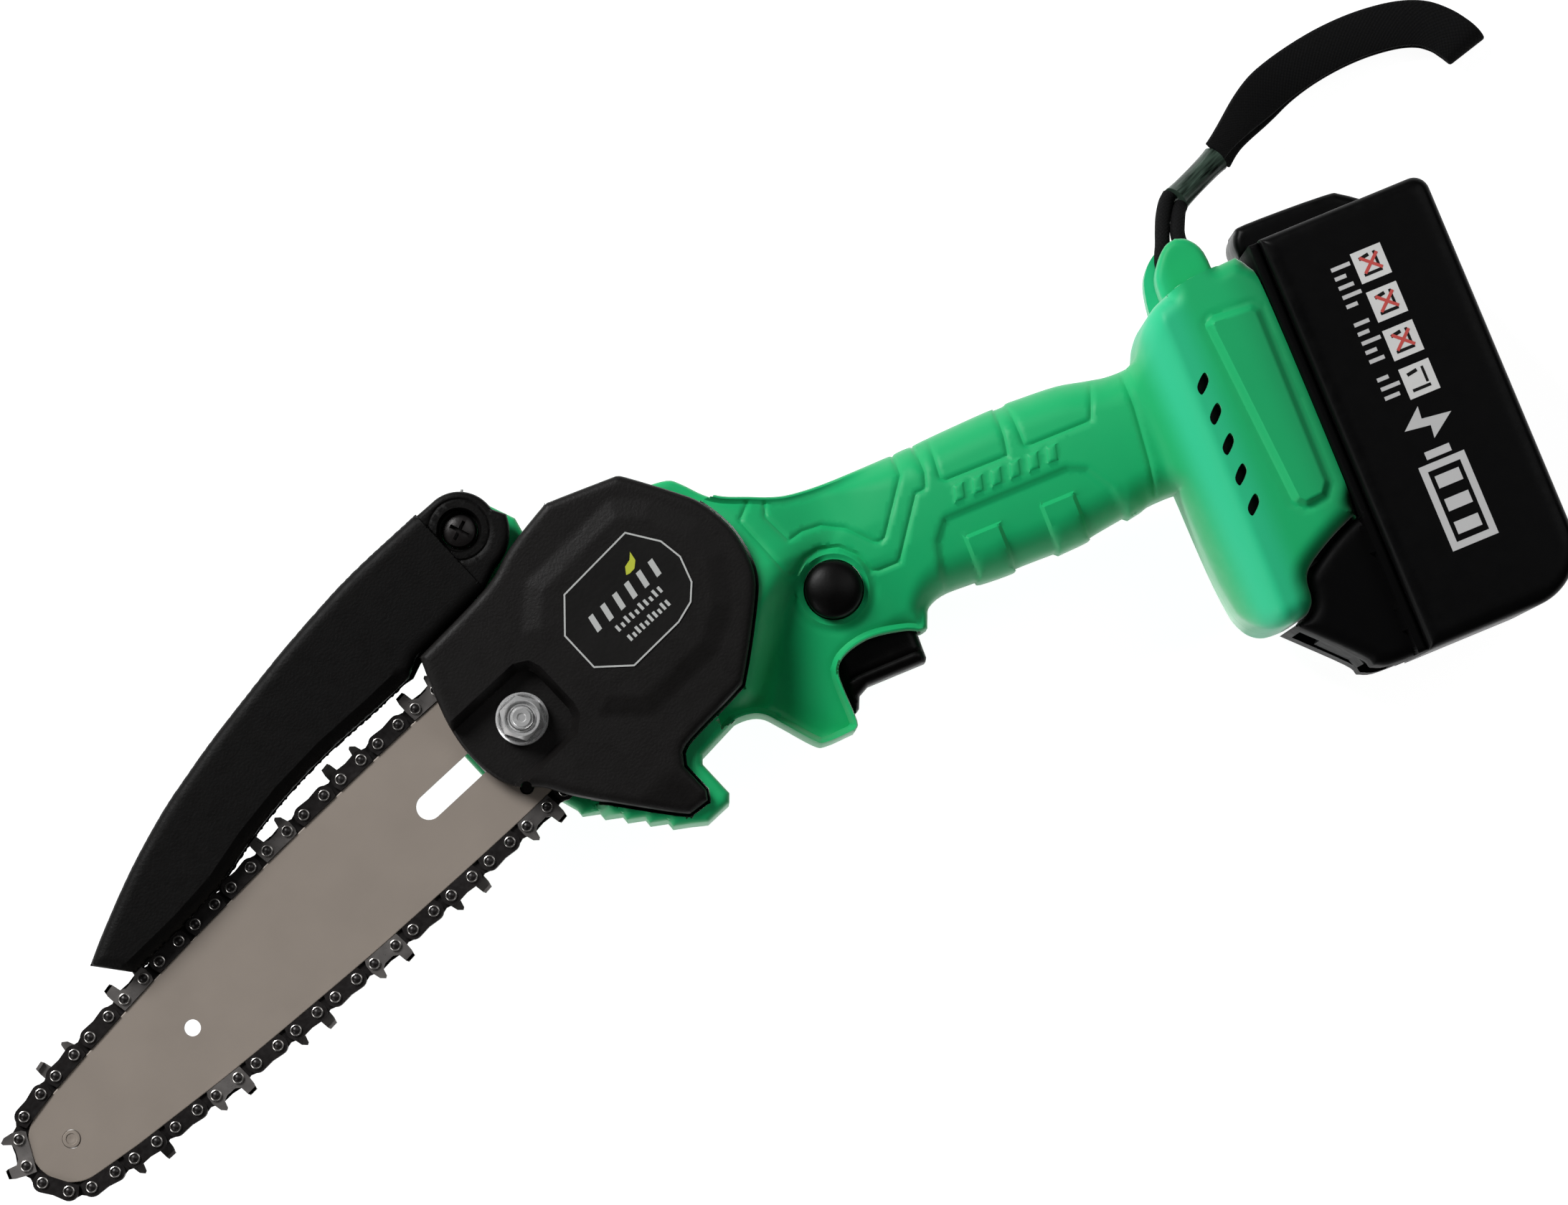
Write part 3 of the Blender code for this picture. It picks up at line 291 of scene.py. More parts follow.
def woven(name, colour, along, across, relief=0.0002):
    """Threads that cross: along and across are thread widths in metres of the piece's own UV map."""
    n = Nodes(bpy.data.materials.new(name))
    parts = n.add("ShaderNodeSeparateXYZ", Vector=n.place("UV"))
    warp = n.math("SINE", n.math("MULTIPLY", parts.outputs[0], math.tau / along))
    weft = n.math("SINE", n.math("MULTIPLY", parts.outputs[1], math.tau / across))
    cell = n.math("MULTIPLY", warp, weft)
    high = n.math("MULTIPLY_ADD", cell, 0.5, 0.5)
    fuzz = n.noise(3000.0, 2.0)
    tone = n.blend(high, shade(colour, 0.7), shade(colour, 1.35))
    normal = n.bump(high, relief, 0.6, n.bump(fuzz, 0.00004))
    return n.set(Base_Color=tone, Roughness=n.span(fuzz, 0.75, 0.95), Specular_IOR_Level=0.15, Normal=normal)


def clear(name, colour):
    """The cloudy greenish tube over the strap, with the strands inside it showing as dark streaks and painted
    highlights showing as pale streaks along it.
    """
    n = Nodes(bpy.data.materials.new(name))
    spread = n.add("ShaderNodeMapping", Vector=n.place("UV"), Scale=(120.0, 1100.0, 1.0)).outputs[0]
    streak = n.add("ShaderNodeTexNoise", Vector=spread, Scale=1.0, Detail=2.0).outputs[0]
    # Dark streaks are the strands inside; the pale streaks are painted highlights along the tube.
    tone = n.blend(n.span(streak, 0, 1), shade(colour, 0.15), shade(colour, 2.2))
    return n.set(Base_Color=tone, Roughness=n.span(streak, 0.15, 0.3), Normal=n.bump(streak, 0.0001), IOR=1.4)


GREEN = (0.0065, 0.385, 0.128)
# Where along the handle the base's painted highlight and painted shade are placed from, and over how far.
PAINTED_LIGHT_FROM, PAINTED_LIGHT_SPAN = 130.0, 50.0
BASE_PAINTED_LIGHT = [     # painted light: each colour, and how much of it at each place along the handle
    # painted highlight on the base's left slopes
    ((0.024, 0.500, 0.252), [(137, 0.0), (143, 0.9), (149, 0.66), (156, 0.0)]),
    # painted shade beside the pad, towards the battery
    ((0.0050, 0.235, 0.078), [(162, 0.0), (172, 0.7)]),
]
M = {"green_plastic": green_plastic_with_painted_light()}
for plastic_name, *look in (
        ("black_plastic", (0.0050, 0.0044, 0.0042), 0.52, 1500.0, 0.00008, 0.15, 0.16),
        ("guard_plastic", (0.0026, 0.0024, 0.0023), 0.52, 1500.0, 0.00008, 0.15, 0.10),
        ("button_plastic", (0.0016, 0.0014, 0.0014), 0.40, 1800.0, 0.00002, 0.10, 0.12),
        ("battery_plastic", (0.0017, 0.0017, 0.0018), 0.36, 2000.0, 0.000003, 0.05, 0.08),
        ("lid_plastic", (0.0019, 0.0019, 0.0020), 0.50, 2000.0, 0.000004, 0.05, 0.03),
        ("grey_plastic", (0.012, 0.012, 0.0125), 0.55, 2600.0, 0.00003, 0.06, 0.03),
        ("red_insulation", (0.45, 0.012, 0.012), 0.45),
        ("black_insulation", (0.012, 0.012, 0.012), 0.45),
        ("cell_wrap", (0.02, 0.12, 0.35), 0.30),
        ("board_green", (0.01, 0.10, 0.035), 0.35),
        ("badge", (0.42, 0.43, 0.42), 0.45, 2600.0, 0.00001),
        ("pale_ink", (0.62, 0.62, 0.61), 0.50, 2600.0, 0.00001),
        ("grey_ink", (0.50, 0.50, 0.50), 0.50, 2600.0, 0.00001),
        ("red_ink", (0.50, 0.06, 0.05), 0.50, 2600.0, 0.00001),
        ("leaf_ink", (0.42, 0.46, 0.03), 0.50, 2600.0, 0.00001),
        ("dark_ink", (0.0060, 0.0057, 0.0055), 0.55, 900.0, 0.00006, 0.35, 0.12)):
    M[plastic_name] = plastic(plastic_name, *look)
for metal_name, *look in (
        ("bar_steel", (0.250, 0.213, 0.181), 0.50, (4, 120, 4), 40.0, 0.000004, 0.045, 0.12),
        ("bright_steel", (0.60, 0.60, 0.60), 0.28, (1, 1, 1), 420.0, 0.00006, 0.20, 0.50),
        ("dark_steel", (0.014, 0.012, 0.012), 0.36, (1, 1, 1), 700.0, 0.00005, 0.30, 0.4),
        ("cutter_steel", (0.16, 0.15, 0.145), 0.30, (1, 1, 1), 420.0, 0.00004, 0.70, 0.6),
        ("rivet_steel", (0.55, 0.53, 0.51), 0.25, (1, 1, 1), 600.0, 0.00002, 0.20, 0.9),
        ("aluminium", (0.62, 0.62, 0.63), 0.40, (1, 1, 1), 300.0, 0.00004, 0.08, 0.8),
        ("copper", (0.72, 0.33, 0.16), 0.35, (1, 1, 30), 200.0, 0.00006)):
    M[metal_name] = metal(metal_name, *look)
M["woven_black"] = woven("woven_black", (0.0026, 0.0026, 0.0028), 0.0011, 0.0011, 0.00012)
M["clear_sleeve"] = clear("clear_sleeve", (0.026, 0.042, 0.032))


# ---------------------------------------------------------------- pieces

def finish_piece(item, material, body, nodes=(), angle=35, slot=None):
    """Shades a piece, gives it its material, hangs it on its body, and hides the CAD nodes that it stands for."""
    if item.data.materials:
        item.data.materials.clear()
    item.data.materials.append(M[material])
    item.data.shade_smooth()
    item.data.set_sharp_from_angle(angle=math.radians(angle))
    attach(item, body)
    slot or material
    if nodes:
        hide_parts(*nodes)
    return item


def item_from(name, points, faces):
    """An object from points in millimetres and faces."""
    mesh = bpy.data.meshes.new(name)
    mesh.from_pydata([tuple(p) for p in np.asarray(points, float) * MM], [], faces)
    mesh.validate()
    return linked(name, mesh)


def item_from_metres(name, form):
    mesh = bpy.data.meshes.new(name)
    form.to_mesh(mesh)
    form.free()
    return linked(name, mesh)


def item_from_form(name, form):
    """An object from a form in millimetres."""
    bmesh.ops.recalc_face_normals(form, faces=form.faces)
    bmesh.ops.scale(form, verts=form.verts, vec=(MM, MM, MM))
    return item_from_metres(name, form)


def joined(name, items):
    """Several mesh objects made into one."""
    form = bmesh.new()
    for item in items:
        form.from_mesh(item.data)
        bpy.data.objects.remove(item)
    return item_from_metres(name, form)


def plate(name, outline, low, high, bevel=0.0, segments=2):
    """A flat piece between two heights, with the edges of both faces bevelled."""
    form = bmesh.new()
    floor = form.faces.new([form.verts.new((x, y, low)) for x, y in outline])
    raised = bmesh.ops.extrude_face_region(form, geom=[floor])["geom"]
    top = [v for v in raised if isinstance(v, bmesh.types.BMVert)]
    bmesh.ops.translate(form, verts=top, vec=(0, 0, high - low))
    if bevel:
        rims = [e for e in form.edges
                if e.verts[0].co.z == e.verts[1].co.z and e.verts[0].co.z in (low, high)]
        bmesh.ops.bevel(form, geom=rims, offset=bevel, segments=segments, affect="EDGES",
                        clamp_overlap=True, profile=0.5)
    return item_from_form(name, form)


def grip_plate(name, outline, low, high, bevel=0.0):
    return plate(name, all_from_grip(outline), low, high, bevel)


def turned(name, profile, centre, sides=48):
    """A profile of (radius, height) turned about a vertical axis."""
    form = bmesh.new()
    rings = []
    for radius, height in profile:
        if radius == 0:
            rings.append([form.verts.new((*centre, height))] * sides)
        else:
            rings.append([form.verts.new((x, y, height)) for x, y in circle(centre, radius, sides)])
    for lower, upper in zip(rings, rings[1:]):
        for i in range(sides):
            j = (i + 1) % sides
            corners = dict.fromkeys([lower[i], lower[j], upper[j], upper[i]])
            if len(corners) > 2:
                form.faces.new(corners)
    return item_from_form(name, form)


def swept(name, points, section, side=(0, 0, 1), widths=None):
    """A section of (across, up) points carried along a line, with a UV map in metres.

    widths, if given, scales the section's across points at each of the line's points."""
    points = [Vector(p) for p in points]
    side = Vector(side)
    form = bmesh.new()
    rings, reach = [], [0.0]
    for a, b in zip(points, points[1:]):
        reach.append(reach[-1] + (b - a).length * MM)
    around = [0.0]
    for a, b in zip(section, section[1:] + section[:1]):
        around.append(around[-1] + math.dist(a, b) * MM)
    for i, point in enumerate(points):
        along = (points[min(i + 1, len(points) - 1)] - points[max(i - 1, 0)]).normalized()
        side = (side - along * side.dot(along)).normalized()
        up = along.cross(side)
        wide = widths[i] if widths else 1.0
        rings.append([form.verts.new(point + side * a * wide + up * b) for a, b in section])
    uv = form.loops.layers.uv.new("weave")
    count = len(section)
    for i, (near, far) in enumerate(zip(rings, rings[1:])):
        for k in range(count):
            face = form.faces.new([near[k], near[(k + 1) % count], far[(k + 1) % count], far[k]])
            places = [(reach[i], around[k]), (reach[i], around[k + 1]), (reach[i + 1], around[k + 1]),
                      (reach[i + 1], around[k])]
            for loop, place in zip(face.loops, places):
                loop[uv].uv = place
    form.faces.new(rings[0])
    form.faces.new(rings[-1])
    return item_from_form(name, form)


def carve(item, *cutters, operation="DIFFERENCE", solver="MANIFOLD"):
    """Cuts a piece with some others, which are removed."""
    for cutter in cutters:
        step = item.modifiers.new("carve", "BOOLEAN")
        step.operation = operation
        step.solver = solver
        step.object = cutter
    graph = bpy.context.evaluated_depsgraph_get()
    mesh = bpy.data.meshes.new_from_object(item.evaluated_get(graph))
    item.modifiers.clear()
    item.data = mesh
    for cutter in cutters:
        bpy.data.objects.remove(cutter)
    return item


# ---------------------------------------------------------------- reliefs

def inside(points, outline):
    """Which points lie inside a closed outline."""
    x, y = points[:, 0], points[:, 1]
    odd = np.zeros(len(points), bool)
    for (x0, y0), (x1, y1) in zip(outline, outline[1:] + outline[:1]):
        if y0 != y1:
            crosses = (y0 > y) != (y1 > y)
            odd ^= crosses & (x < x0 + (y - y0) * (x1 - x0) / (y1 - y0))
    return odd


def gap_to(points, stretches):
    """Each point's distance from the nearest of some straight stretches."""
    best = np.full(len(points), 1e9)
    for a, b in stretches:
        a, b = np.array(a, float), np.array(b, float)
        along = b - a
        t = np.clip(((points - a) @ along) / max(along @ along, 1e-12), 0, 1)
        best = np.minimum(best, np.hypot(*(points - a - t[:, None] * along).T))
    return best


def stretches_of(line, closed=True):
    return list(zip(line, [*line[1:], line[0]] if closed else line[1:]))


def depth_in(points, outline):
    """Distance inside an outline, negative outside it."""
    gap = gap_to(points, stretches_of(outline))
    return np.where(inside(points, outline), gap, -gap)


def rise(value, low, high):
    """0 below low, 1 above high, and a smooth step between."""
    t = np.clip((value - low) / (high - low), 0, 1)
    return t * t * (3 - 2 * t)


def roll_off(gap, radius, drop):
    """How much lower a rounded edge is, this far in from the rim."""
    t = np.clip(gap / radius, 0, 1)
    return drop * (1 - np.sqrt(np.clip(1 - (1 - t) ** 2, 0, 1)))


def walk(stretches, step):
    """Each stretch that has a length: its start, its run, its normal, and how many steps it takes."""
    for a, b in stretches:
        a, run = np.array(a, float), np.array(b, float) - np.array(a, float)
        length = np.hypot(*run)
        if length > 1e-6:
            yield a, run, np.array([-run[1], run[0]]) / length, max(1, int(round(length / step)))


def along_line(line, step, closed=True, offsets=(0.0,)):
    """Points at even steps along a line, and beside it."""
    return [a + run * i / count + normal * offset
            for a, run, normal, count in walk(stretches_of(line, closed), step)
            for i in range(count) for offset in offsets]


def rim_of(outlines):
    """The stretches of the outlines that bound their union."""
    kept = []
    for k, outline in enumerate(outlines):
        others = outlines[:k] + outlines[k + 1:]
        for a, b in stretches_of(outline):
            a, b = np.array(a, float), np.array(b, float)
            count = max(1, int(np.hypot(*(b - a)) / 0.5))
            ends = a + (b - a) * np.linspace(0, 1, count + 1)[:, None]
            middles = (ends[1:] + ends[:-1]) / 2
            free = np.ones(count, bool)
            for other in others:
                free &= ~inside(middles, other)
            start = None
            for i in range(count + 1):
                if i < count and free[i] and start is None:
                    start = i
                if start is not None and (i == count or not free[i]):
                    kept.append((ends[start], ends[i]))
                    start = None
    return kept


RIM_RINGS = (0.28, 0.7, 1.2, 1.9)
RIM_STEP = 0.62


def rim_rings(stretches, spacing):
    """Points in rows just inside the rim, where a rounded edge is steepest."""
    found = np.array([(*(a + run * (i + 0.5) / count + normal * side * ring), ring)
                      for a, run, normal, count in walk(stretches, spacing)
                      for i in range(count) for side in (-1, 1) for ring in RIM_RINGS])
    true = np.abs(gap_to(found[:, :2], stretches) - found[:, 2]) < 0.04
    return found[true, :2]


def tree_of(points):
    tree = kdtree.KDTree(len(points))
    for i, p in enumerate(points):
        tree.insert((*p, 0), i)
    tree.balance()
    return tree


def in_any(points, outlines):
    return np.any([inside(points, o) for o in outlines], axis=0)


def filled(outlines, spacing, marks, stretches):
    """Points and triangles that fill the union of some outlines, with a point at each mark."""
    points, edges = [], []
    step = min(spacing, RIM_STEP)
    for outline in outlines:
        ring = along_line(outline, step)
        first = len(points)
        points += ring
        edges += [(first + i, first + (i + 1) % len(ring)) for i in range(len(ring))]
    marks = np.array(marks).reshape(-1, 2)
    marks = marks[gap_to(marks, stretches) > 0.45] if len(marks) else marks
    marks = np.concatenate([rim_rings(stretches, step), marks])
    marks = marks[in_any(marks, outlines)]
    first = np.unique(np.round(marks / 0.12), axis=0, return_index=True)[1]
    marks = marks[np.sort(first)]
    near = tree_of(points)
    points += [m for m in marks if near.find((*m, 0))[2] > 0.15]
    near = tree_of(points)
    low = np.min([np.min(o, axis=0) for o in outlines], axis=0)
    high = np.max([np.max(o, axis=0) for o in outlines], axis=0)
    rows = np.arange(low[1], high[1], spacing * 0.866)
    grid = np.array([(x + spacing / 2 * (r % 2), y) for r, y in enumerate(rows)
                     for x in np.arange(low[0], high[0], spacing)])
    grid = grid[in_any(grid, outlines)]
    points += [p for p in grid if near.find((*p, 0))[2] > spacing * 0.62]
    found = delaunay_2d_cdt([Vector(p) for p in points], edges, [], 0, 1e-4, False)
    places = np.array([tuple(v) for v in found[0]])
    faces = np.array(found[2])
    middles = places[faces].mean(axis=1)
    faces = faces[in_any(middles, outlines)]
    used, faces = np.unique(faces, return_inverse=True)
    return places[used], faces.reshape(-1, 3)


def relief(name, outlines, top, bottom, spacing=0.8, marks=(), tilted=True):
    """A closed piece whose upper and lower faces are height fields over the union of some outlines.

    top and bottom take the points and their distance from the rim, and give heights."""
    outlines = [list(o) for o in outlines]
    stretches = rim_of(outlines)
    places, faces = filled(outlines, spacing, marks, stretches)
    gap = gap_to(places, stretches)
    count = len(places)
    sides = np.concatenate([faces[:, [0, 1]], faces[:, [1, 2]], faces[:, [2, 0]]])
    keys = {tuple(e) for e in sides.tolist()}
    rim = sorted((a, b) for a, b in keys if (b, a) not in keys)
    for i in {i for edge in rim for i in edge}:
        gap[i] = 0.0
    highs, lows = top(places, gap), bottom(places, gap)
    if tilted:
        places = np.array(all_from_grip(places))
    points = np.concatenate([np.column_stack([places, highs]), np.column_stack([places, lows])])
    walls = [(a + count, b + count, b, a) for a, b in rim]
    return item_from(name, points, faces.tolist() + (faces[:, ::-1] + count).tolist() + walls)


def flat(height):
    return lambda places, gap: np.full(len(places), float(height))


GROOVE_DEPTH, GROOVE_FLOOR, GROOVE_REACH = 0.5, 0.07, 0.868


def groove(places, line):
    """A moulded line: the height that it takes away."""
    return GROOVE_DEPTH * (1 - rise(gap_to(places, stretches_of(line, False)), GROOVE_FLOOR, GROOVE_REACH))


def groove_marks(line):
    return along_line(line, 0.6, False, [GROOVE_REACH * share for share in (-1, -0.5, 0, 0.5, 1)])


def edge_marks(line, low, high, closed=True, step=0.6):
    return along_line(line, step, closed, (low, (low + high) / 2, high))


# ---------------------------------------------------------------- strap

STRAP_PIN = (158.5, 30.3)
CORD_ROUTE = [
    (164.0, 47.4, 30.4), (162.2, 45.8, 31.6), (160.0, 42.6, 33.7), (158.3, 39.2, 35.6), (156.9, 36.0, 36.9),
    (155.4, 33.0, 37.4), (154.7, 30.3, 37.5), *[(x, y, 37.5) for x, y in arc(STRAP_PIN, 3.8, 216, 324, 3)],
    (162.3, 30.3, 37.5), (161.3, 34.2, 37.3), (161.6, 37.2, 36.2), (162.9, 40.0, 34.2), (164.4, 42.6, 31.9),
    (165.6, 43.9, 30.4),
]
WEBBING_ROUTE = [
    (180.4, 51.6, 17.6), (185.6, 56.0, 12.4), (192.4, 60.2, 7.2), (200.4, 64.2, 3.4), (209.0, 66.8, 2.2),
    (218.3, 68.2, 2.2), (227.6, 68.4, 2.2), (236.4, 67.3, 2.2), (242.6, 65.1, 2.2), (246.8, 61.8, 2.4),
    (249.3, 58.3, 2.5), (250.4, 56.2, 3.2), (250.9, 54.9, 4.9), (250.3, 56.4, 6.6), (249.1, 58.6, 7.1),
    (246.6, 62.0, 7.1), (242.6, 65.4, 7.1), (236.4, 67.6, 7.2), (227.6, 68.7, 7.2), (218.3, 68.5, 7.3),
    (209.0, 67.1, 7.7), (200.4, 64.8, 9.2), (192.6, 61.4, 12.8), (185.4, 57.4, 17.6), (179.9, 54.0, 21.5),
]
SLEEVE_START, SLEEVE_END = Vector(grip3(165.2, 45.8, 30.2)), Vector(grip3(179.2, 52.1, 20.8))
CORD_WIDTH, WEBBING_WIDTH, WEBBING_THICK = 3.8, 11.6, 1.5
GATHERED, SPREAD_AFTER = 0.54, 26.0   # how narrow the webbing starts, and where it reaches its full width


def length_of(route):
    return sum((b - a).length for a, b in zip(route, route[1:])) * MM


def rounded_section(width, thick):
    """A flat strip's section with rounded edges, as (across, up) points."""
    r = thick / 2
    return [*arc((width / 2 - r, 0), r, -90, 90, 6), *arc((r - width / 2, 0), r, 90, 270, 6)]


def lay_cord(route, width, pieces=()):
    """Works out how long a cord's route is; nothing keeps the length."""
    length_of(route)


def make_strap():
    route = smooth_route([grip3(*p) for p in WEBBING_ROUTE], 6)
    sideways = Vector((*grip(-0.66, 0.75), 0))
    runs = [0.0]
    for a, b in zip(route, route[1:]):
        runs.append(runs[-1] + (b - a).length)
    spread = [float(rise(min(run, runs[-1] - run), 0, SPREAD_AFTER)) for run in runs]
    widths = [GATHERED + (1 - GATHERED) * share for share in spread]
    section = rounded_section(WEBBING_WIDTH, WEBBING_THICK)
    webbing = swept("strap_webbing_band", route, section, sideways, widths)
    finish_piece(webbing, "woven_black", "housing", ["strap_webbing"], 60)
    lay_cord(route, WEBBING_WIDTH)

    route = smooth_route([grip3(*p) for p in CORD_ROUTE], 6)
    cord = swept("strap_cord_braid", route, circle((0, 0), CORD_WIDTH / 2, 14))
    finish_piece(cord, "woven_black", "housing", ["strap_cord"], 60)
    lay_cord(route, CORD_WIDTH, [make_sleeve()])


def make_sleeve():
    """The clear tube pressed over the cord and the webbing, a little waisted between its ends."""
    along = SLEEVE_END - SLEEVE_START
    steps = 36
    route = [SLEEVE_START + along * i / steps for i in range(steps + 1)]
    tube = swept("strap_sleeve_tube", route, [(a * 1.06, b * 0.86) for a, b in circle((0, 0), 3.25, 28)],
                 (*grip(-0.4, 0.9), 0))
    for vertex in tube.data.vertices:
        share = (vertex.co / MM - SLEEVE_START).dot(along) / along.length_squared
        middle = SLEEVE_START + along * share
        waist = 1 - 0.05 * math.sin(share * math.pi) + 0.05 * abs(2 * share - 1) ** 6
        vertex.co = (middle + (vertex.co / MM - middle) * waist) * MM
    return finish_piece(tube, "clear_sleeve", "housing", ["strap_sleeve"], 60)


make_strap()


# ---------------------------------------------------------------- housing

JAW_TIP, JAW_ROOT, JAW_TEETH = Vector((-26.5, -47.4)), Vector((-44.5, -25.0)), 5


def inset(outline, amount):
    """The outline moved inwards, for shapes without sharp notches."""
    count = len(outline)
    moved = []
    for i in range(count):
        a, b, c = (Vector(outline[(i + k) % count]) for k in (-1, 0, 1))
        n1 = Vector((-(b - a).y, (b - a).x)).normalized()
        n2 = Vector((-(c - b).y, (c - b).x)).normalized()
        middle = (n1 + n2).normalized()
        moved.append(tuple(b + middle * amount / max(middle.dot(n1), 0.3)))
    return moved


def jaw_teeth():
    along = (JAW_ROOT - JAW_TIP) / JAW_TEETH
    outward = Vector((along.y, -along.x)).normalized() * -1.3
    points = []
    for tooth in range(JAW_TEETH):
        start = JAW_TIP + along * tooth
        points += [tuple(start), tuple(start + along * 0.75 + outward)]
    return [*points, tuple(JAW_ROOT)]


COVER = rounded([
    (-47.5, 28.2), (-50.8, 20), (-53.8, 11), (-55, 3), (-54.4, -5), (-52, -11), (-47, -16), (-42, -24),
    (-27, -43.4), (-24, -45.6), (-19.6, -46), (-18.2, -44), (-18.2, -36), (-16, -33), (-12, -32), (4, -31),
    (8, -29.5), (20, -20), (26.6, -13.5), (29.6, -6), (30.4, 1), (29.2, 9), (26.4, 15), (20, 26), (18.4, 28),
    (2, 34.5), (0, 34.8), (-13, 32.8), (-24, 29.6),
], 24)
COVER_EDGE = all_to_grip(COVER)
HEAD = all_to_grip([
    (-56, -3), (-56, 4), (-54, 12), (-50.5, 22), (-46.5, 27), (-26, 28.6), (-12, 31.6), (1, 33.3), (18, 26.6),
    (24, 18.5), (28, 10), (29.5, 2), (28, -10), (20, -20.5), (8, -30), (0, -36), (-12.8, -36.9),
    (-14.4, -38.6), (-14.4, -48.3), (-16, -50), (-23, -50), *jaw_teeth(), (-47, -17), (-53, -11),
])
PIVOT_LUG = all_to_grip([(-27, 26), (-28, 44), (-25, 50.5), (-19, 53.2), (-13, 51), (-9, 45.4), (-6.4, 38.6),
                         (-7.4, 34.5), (-6, 28)])
HANDLE = rounded([
    (12, 29), (19, 28.2), (22, 26), (26, 21.5), (30, 18.5), (36, 16), (41, 14), (46, 12.8), (55, 12.2),
    (66, 12.5), (72.3, 12.7), (73.4, 12.3), (74.5, 12.8), (77.8, 12.9), (79, 12.5), (80.2, 13.0), (90, 13.5),
    (100.2, 13.8), (101.3, 13.4), (103.8, 13.4), (104.9, 13.8), (108, 13.7), (118, 13), (126, 11.2), (132, 10.2),
    (145, 10.2), (145, -23.2), (130, -23.2), (126, -24.0), (122.4, -24.6), (121.2, -23.7), (112, -25.0),
    (110.8, -25.8), (102.8, -26.2), (101.8, -25.3), (91.8, -25.1), (90.6, -25.9), (82, -25.4), (80.8, -24.4),
    (72, -24.2),
    (67.5, -26), (66, -28.5), (65, -30.8), (63, -31), (60, -29.5), (53, -28), (48, -28), (43, -29.5),
    (40.4, -32), (39.8, -36), (39.8, -45.6), (38.4, -47.6), (31, -47.8), (28, -46.4), (22, -39),
    (18.5, -35.2), (14, -34), (8, -34.6),
])
BASE = rounded([
    (135.8, 10.2), (138.5, 11.5), (141, 15.5), (144.5, 19.3), (149, 21.6), (157, 23.6), (170, 24.4),
    (172, 21), (173, 12), (173, -42), (172, -46), (165, -49), (158, -53), (155.6, -56), (155, -60),
    (154, -62.5), (151, -64.6), (144.5, -64.6), (140.5, -62.5), (138, -59), (137, -55), (136.1, -45),
    (135.8, -26),
])
STRAP_LUG = rounded([(150.6, 20), (151, 27.5), (153.6, 32), (156.6, 34.9), (159.6, 35.7), (162.6, 34.2),
                     (165, 29.8), (165.2, 20)])
STRAP_LUG_RIGHT = rounded([(146.8, 18), (147.6, 24), (149.2, 29.5), (152.6, 33.6), (156.6, 35.6), (159.6, 36.0),
                           (162.6, 34.4), (165, 29.8), (165.2, 20)])
LOCK_CENTRE, LOCK_RADIUS = (46.8, -13.3), 7.2
LOCK_RING = circle(LOCK_CENTRE, 8.9, 48)
GROOVES = [
    [(35, 14.5), (31.5, 11), (37.5, -6.3), (39.5, -6.2), (43, -3.5), (47, -2.6), (52, -4), (55.5, -7.5),
     (57.3, -12.5), (59, -13.2), (64.5, -13.2), (74.8, 1), (77.5, 1.2), (78.8, 5), (79, 12.5)],
    [(39, 12.8), (37.8, 9.5), (41, 2), (45, 3), (50, 2.7), (55.5, -0.3), (60.5, -6), (62, -6.8), (63.5, -6.2),
     (73, 6.8), (73.5, 12.5)],
    [(83, 12.7), (81.8, 2.3), (83, 1.2), (99.5, 1), (100.5, 5.8), (101.2, 12.8)],
    [(104.5, 12.8), (104.3, 2), (105, 1.3), (122, 1.2), (125.8, 10)],
    [(133.6, 10.0), (133.2, 0), (131.5, -14), (130, -22.6)],
]
PALM_RECESS = [(72.0, -29), (73, -20), (75, -12), (79, -7.3), (112, -7.3), (116.5, -9.5), (120.5, -16),
               (122.4, -29)]
PALM_RIBS = [rectangle(82, -32, 91, -13.8), rectangle(102.5, -32, 111, -13.8)]
BASE_PAD = [(156.5, 11.2), (158, 12.5), (168.6, 11.8), (170, 10.0), (169.5, -36), (167.3, -39), (162, -39.5),
            (159.8, -37.5)]
VENTS = [rounded([(148.8, y), (151.7, y + 2.6), (151.3, y + 4.9), (148.4, y + 2.3)], 180, 5)
         for y in (-4.2, -12.3, -20.4, -28.5, -36.6)]
VENT_FLOOR = 64.0
TRIGGER_ROOM = rectangle(39.95, -52, 63, -15)
HEAD_FACE, HEAD_BACK = 50.0, 24.0     # the cover sits on the head's face
LUG_FACE, LUG_BACK, BARREL_BACK = 47.0, 28.0, 8.3
JAW_HEIGHT = 13.0                # how far the jaw stands up beside the cover
HEAD_END = 100                   # the head's own outline lies before this place along the handle
DASHES = [[(x + 1.2, -4.6), (x + 3.6, -4.6), (x + 4.6, -0.9), (x + 2.2, -0.9)] for x in range(82, 110, 5)]


def crowned(places, gap):
    """The shape that both sides of the handle and base share: how far they stand out from the split."""
    x, y = places[:, 0], places[:, 1]
    in_handle = rise(x, 50, 75) * (1 - rise(x, 132, 142))
    radius = 3.2 + 5.5 * in_handle + 1.8 * rise(x, 138, 146)
    at_lid = rise(x, 162, 169) * (1 - rise(np.abs(y + 11), 25, 33))
    gap = gap + 4.0 * at_lid
    out = 17.0 + 14.5 * rise(x, 134.0, 148.0)
    out = out - 2.4 * in_handle * np.clip((y + 6) / 18, -1.1, 1.1) ** 2
    out = out - 1.1 * rise(x, 140, 150) * np.clip(np.abs(y + 20) / 45, 0, 1) ** 3
    return out - roll_off(gap, radius, radius * 1.05)


def off_handle(places):
    """The head's own points, beyond the handle. A point on the handle's outline counts as the handle's."""
    return (depth_in(places, HANDLE) < -0.02) & (places[:, 0] < HEAD_END)


def on_strap_lug(places):
    return (places[:, 1] > 19.8) & (depth_in(places, BASE) < -0.02)


def deepest(places, outlines):
    """How deep each place lies in whichever of some outlines it is deepest in."""
    return np.max([depth_in(places, outline) for outline in outlines], axis=0)


